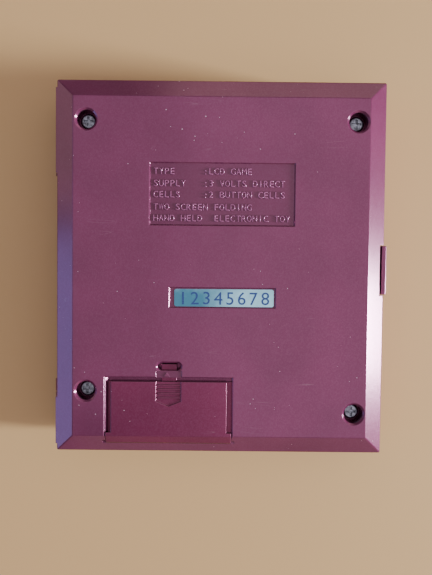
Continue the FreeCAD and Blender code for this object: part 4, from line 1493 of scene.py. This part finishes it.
@dataclass
class FrontPrint(Assembly):
    """Print on the lid's outer plate: border lines and a plain sign of two screens."""

    # Half width and length, radius of the corners and width of each border line.
    borders: tuple[tuple[Point, float, float], ...] = (
        ((31.6, 36.6), 1.4, 0.5), ((30.6, 35.6), 1.0, 0.2))

    def build(self) -> None:
        """Builds the print, which faces down with the case shut."""
        lines = Solids()
        for half, radius, width in self.borders:
            lines.frame_line(half, (0.0, 0.0), radius, width)
        for x in (-8.0, 8.0):
            lines.frame_line((6.5, 4.8), (x, 8.0), 0.8, 0.5)
        for k in range(7):
            y = -12.0 - k * 1.6
            lines.stroke([(-22.0, y), (22.0, y)], 0.5)
        self.add("front_plate_print", lines, TRIM_INK, "trim_metal", move=UNDER)


# ---------------------------------------------------------------- studio


@dataclass(frozen=True)
class Lamp:
    """A soft rectangular light, placed and aimed in metres of the frame."""

    name: str
    place: tuple[float, float, float]
    size: Point
    power: float
    colour: str
    aim: tuple[float, float, float] = (0.0, 0.0, 0.0)

    def build(self) -> None:
        """Hangs the light, pointed at its aim."""
        light = bpy.data.lights.new(self.name, "AREA")
        light.shape = "RECTANGLE"
        light.size, light.size_y = self.size
        light.energy = self.power
        light.color = linear(self.colour)[:3]
        holder = put(self.name, light)
        holder.location = self.place
        toward = Vector(self.aim) - Vector(self.place)
        holder.rotation_euler = toward.to_track_quat("-Z", "Y").to_euler()


@dataclass
class Studio:
    """The camera, a plain pale floor and plain soft light."""

    camera_place: tuple[float, float, float] = (-1.55, 2.9, 189.91)
    camera_turn: tuple[float, float, float] = (-2.479, -0.176, 0.595)
    lens: float = 46.33
    floor_side: float = 6000.0
    floor_drop: float = 0.05
    floor_thick: float = 10.0
    floor_colour: str = "#bc9a66"
    air_colour: str = "#a4989a"
    air_strength: float = 0.75
    lamps: tuple[Lamp, ...] = (
        Lamp("window", (1.0, -0.101, 0.25), (0.14, 0.3), 39.5, "#f4f7ff"),
        Lamp("window_wall", (1.15, -0.05, 0.42), (1.4, 0.8), 1.8, "#ea7cc2"),
        Lamp("left_wall", (-1.2, -0.3, 0.2), (0.72, 0.4), 3.4, "#86a8e8"),
        Lamp("left_far_wall", (-1.2, 0.5, 0.2), (0.9, 0.4), 2.5, "#aca896"),
        Lamp("left_fill", (-0.9, 0.0, 0.7), (0.5, 0.5), 1.5, "#b4c4ff"),
        Lamp("far_wall", (0.45, 1.2, 0.25), (1.2, 0.4), 3.0, "#d2d0b6"),
        Lamp("near_wall", (0.3, -1.2, 0.25), (1.2, 0.4), 2.0, "#dcc4a4"),
        Lamp("ceiling", (0.6, -0.05, 1.3), (1.3, 1.8), 10.5, "#eee1ea", (0.6, -0.05, 0.0)),
        Lamp("ceiling_left", (-0.4, 0.35, 1.3), (0.7, 1.3), 2.5, "#eee1ea", (-0.4, 0.35, 0.0)),
    )

    def camera(self) -> None:
        """Sets up the camera above the case."""
        data = bpy.data.cameras.new("camera")
        data.lens = self.lens
        data.clip_start, data.clip_end = 0.005, 50.0
        holder = put("camera", data)
        holder.location = [mm(value) for value in self.camera_place]
        holder.rotation_euler = Euler([math.radians(value) for value in self.camera_turn], "XYZ")
        bpy.context.scene.camera = holder

    def floor(self) -> None:
        """Lays the floor, a hair below the case."""
        half = self.floor_side / 2.0
        slab = Solids(-self.floor_drop - self.floor_thick, -self.floor_drop)
        slab.slab([(-half, -half), (half, -half), (half, half), (-half, half)])
        floor = put("floor", slab.mesh("floor", IN_PLACE, 30.0))
        finish = Finish("plain_floor", self.floor_colour, 0.6)
        floor.data.materials.append(finish.build())

    def air(self) -> None:
        """Fills the room with even, dim light."""
        world = bpy.data.worlds.new("room")
        world.use_nodes = True
        back = next(n for n in world.node_tree.nodes if n.type == "BACKGROUND")
        feed(world.node_tree, back, {
            "Color": linear(self.air_colour), "Strength": self.air_strength})
        bpy.context.scene.world = world

    def build(self) -> None:
        """Builds the whole studio."""
        self.camera()
        self.floor()
        self.air()
        for lamp in self.lamps:
            lamp.build()


def main() -> None:
    """Builds the studio, dresses the frame and adds each assembly's pieces."""
    logging.basicConfig(level=logging.INFO, format="%(name)s: %(message)s")
    palette = Palette()
    Studio().build()
    palette.dress_frame()
    RearMarkings(palette, "base").build()
    for half, title in ((Half.BASE, "LCD GAME"), (Half.LID, "HAND HELD")):
        InnerFace(palette, half.value, half=half, title=title).build()
        ContactDomes(palette, half.value, half=half).build()
        BoardTracks(palette, half.value, half=half).build()
    CellMarks(palette, "base").build()
    FrontPrint(palette, "lid").build()


if __name__ == "__main__":
    main()
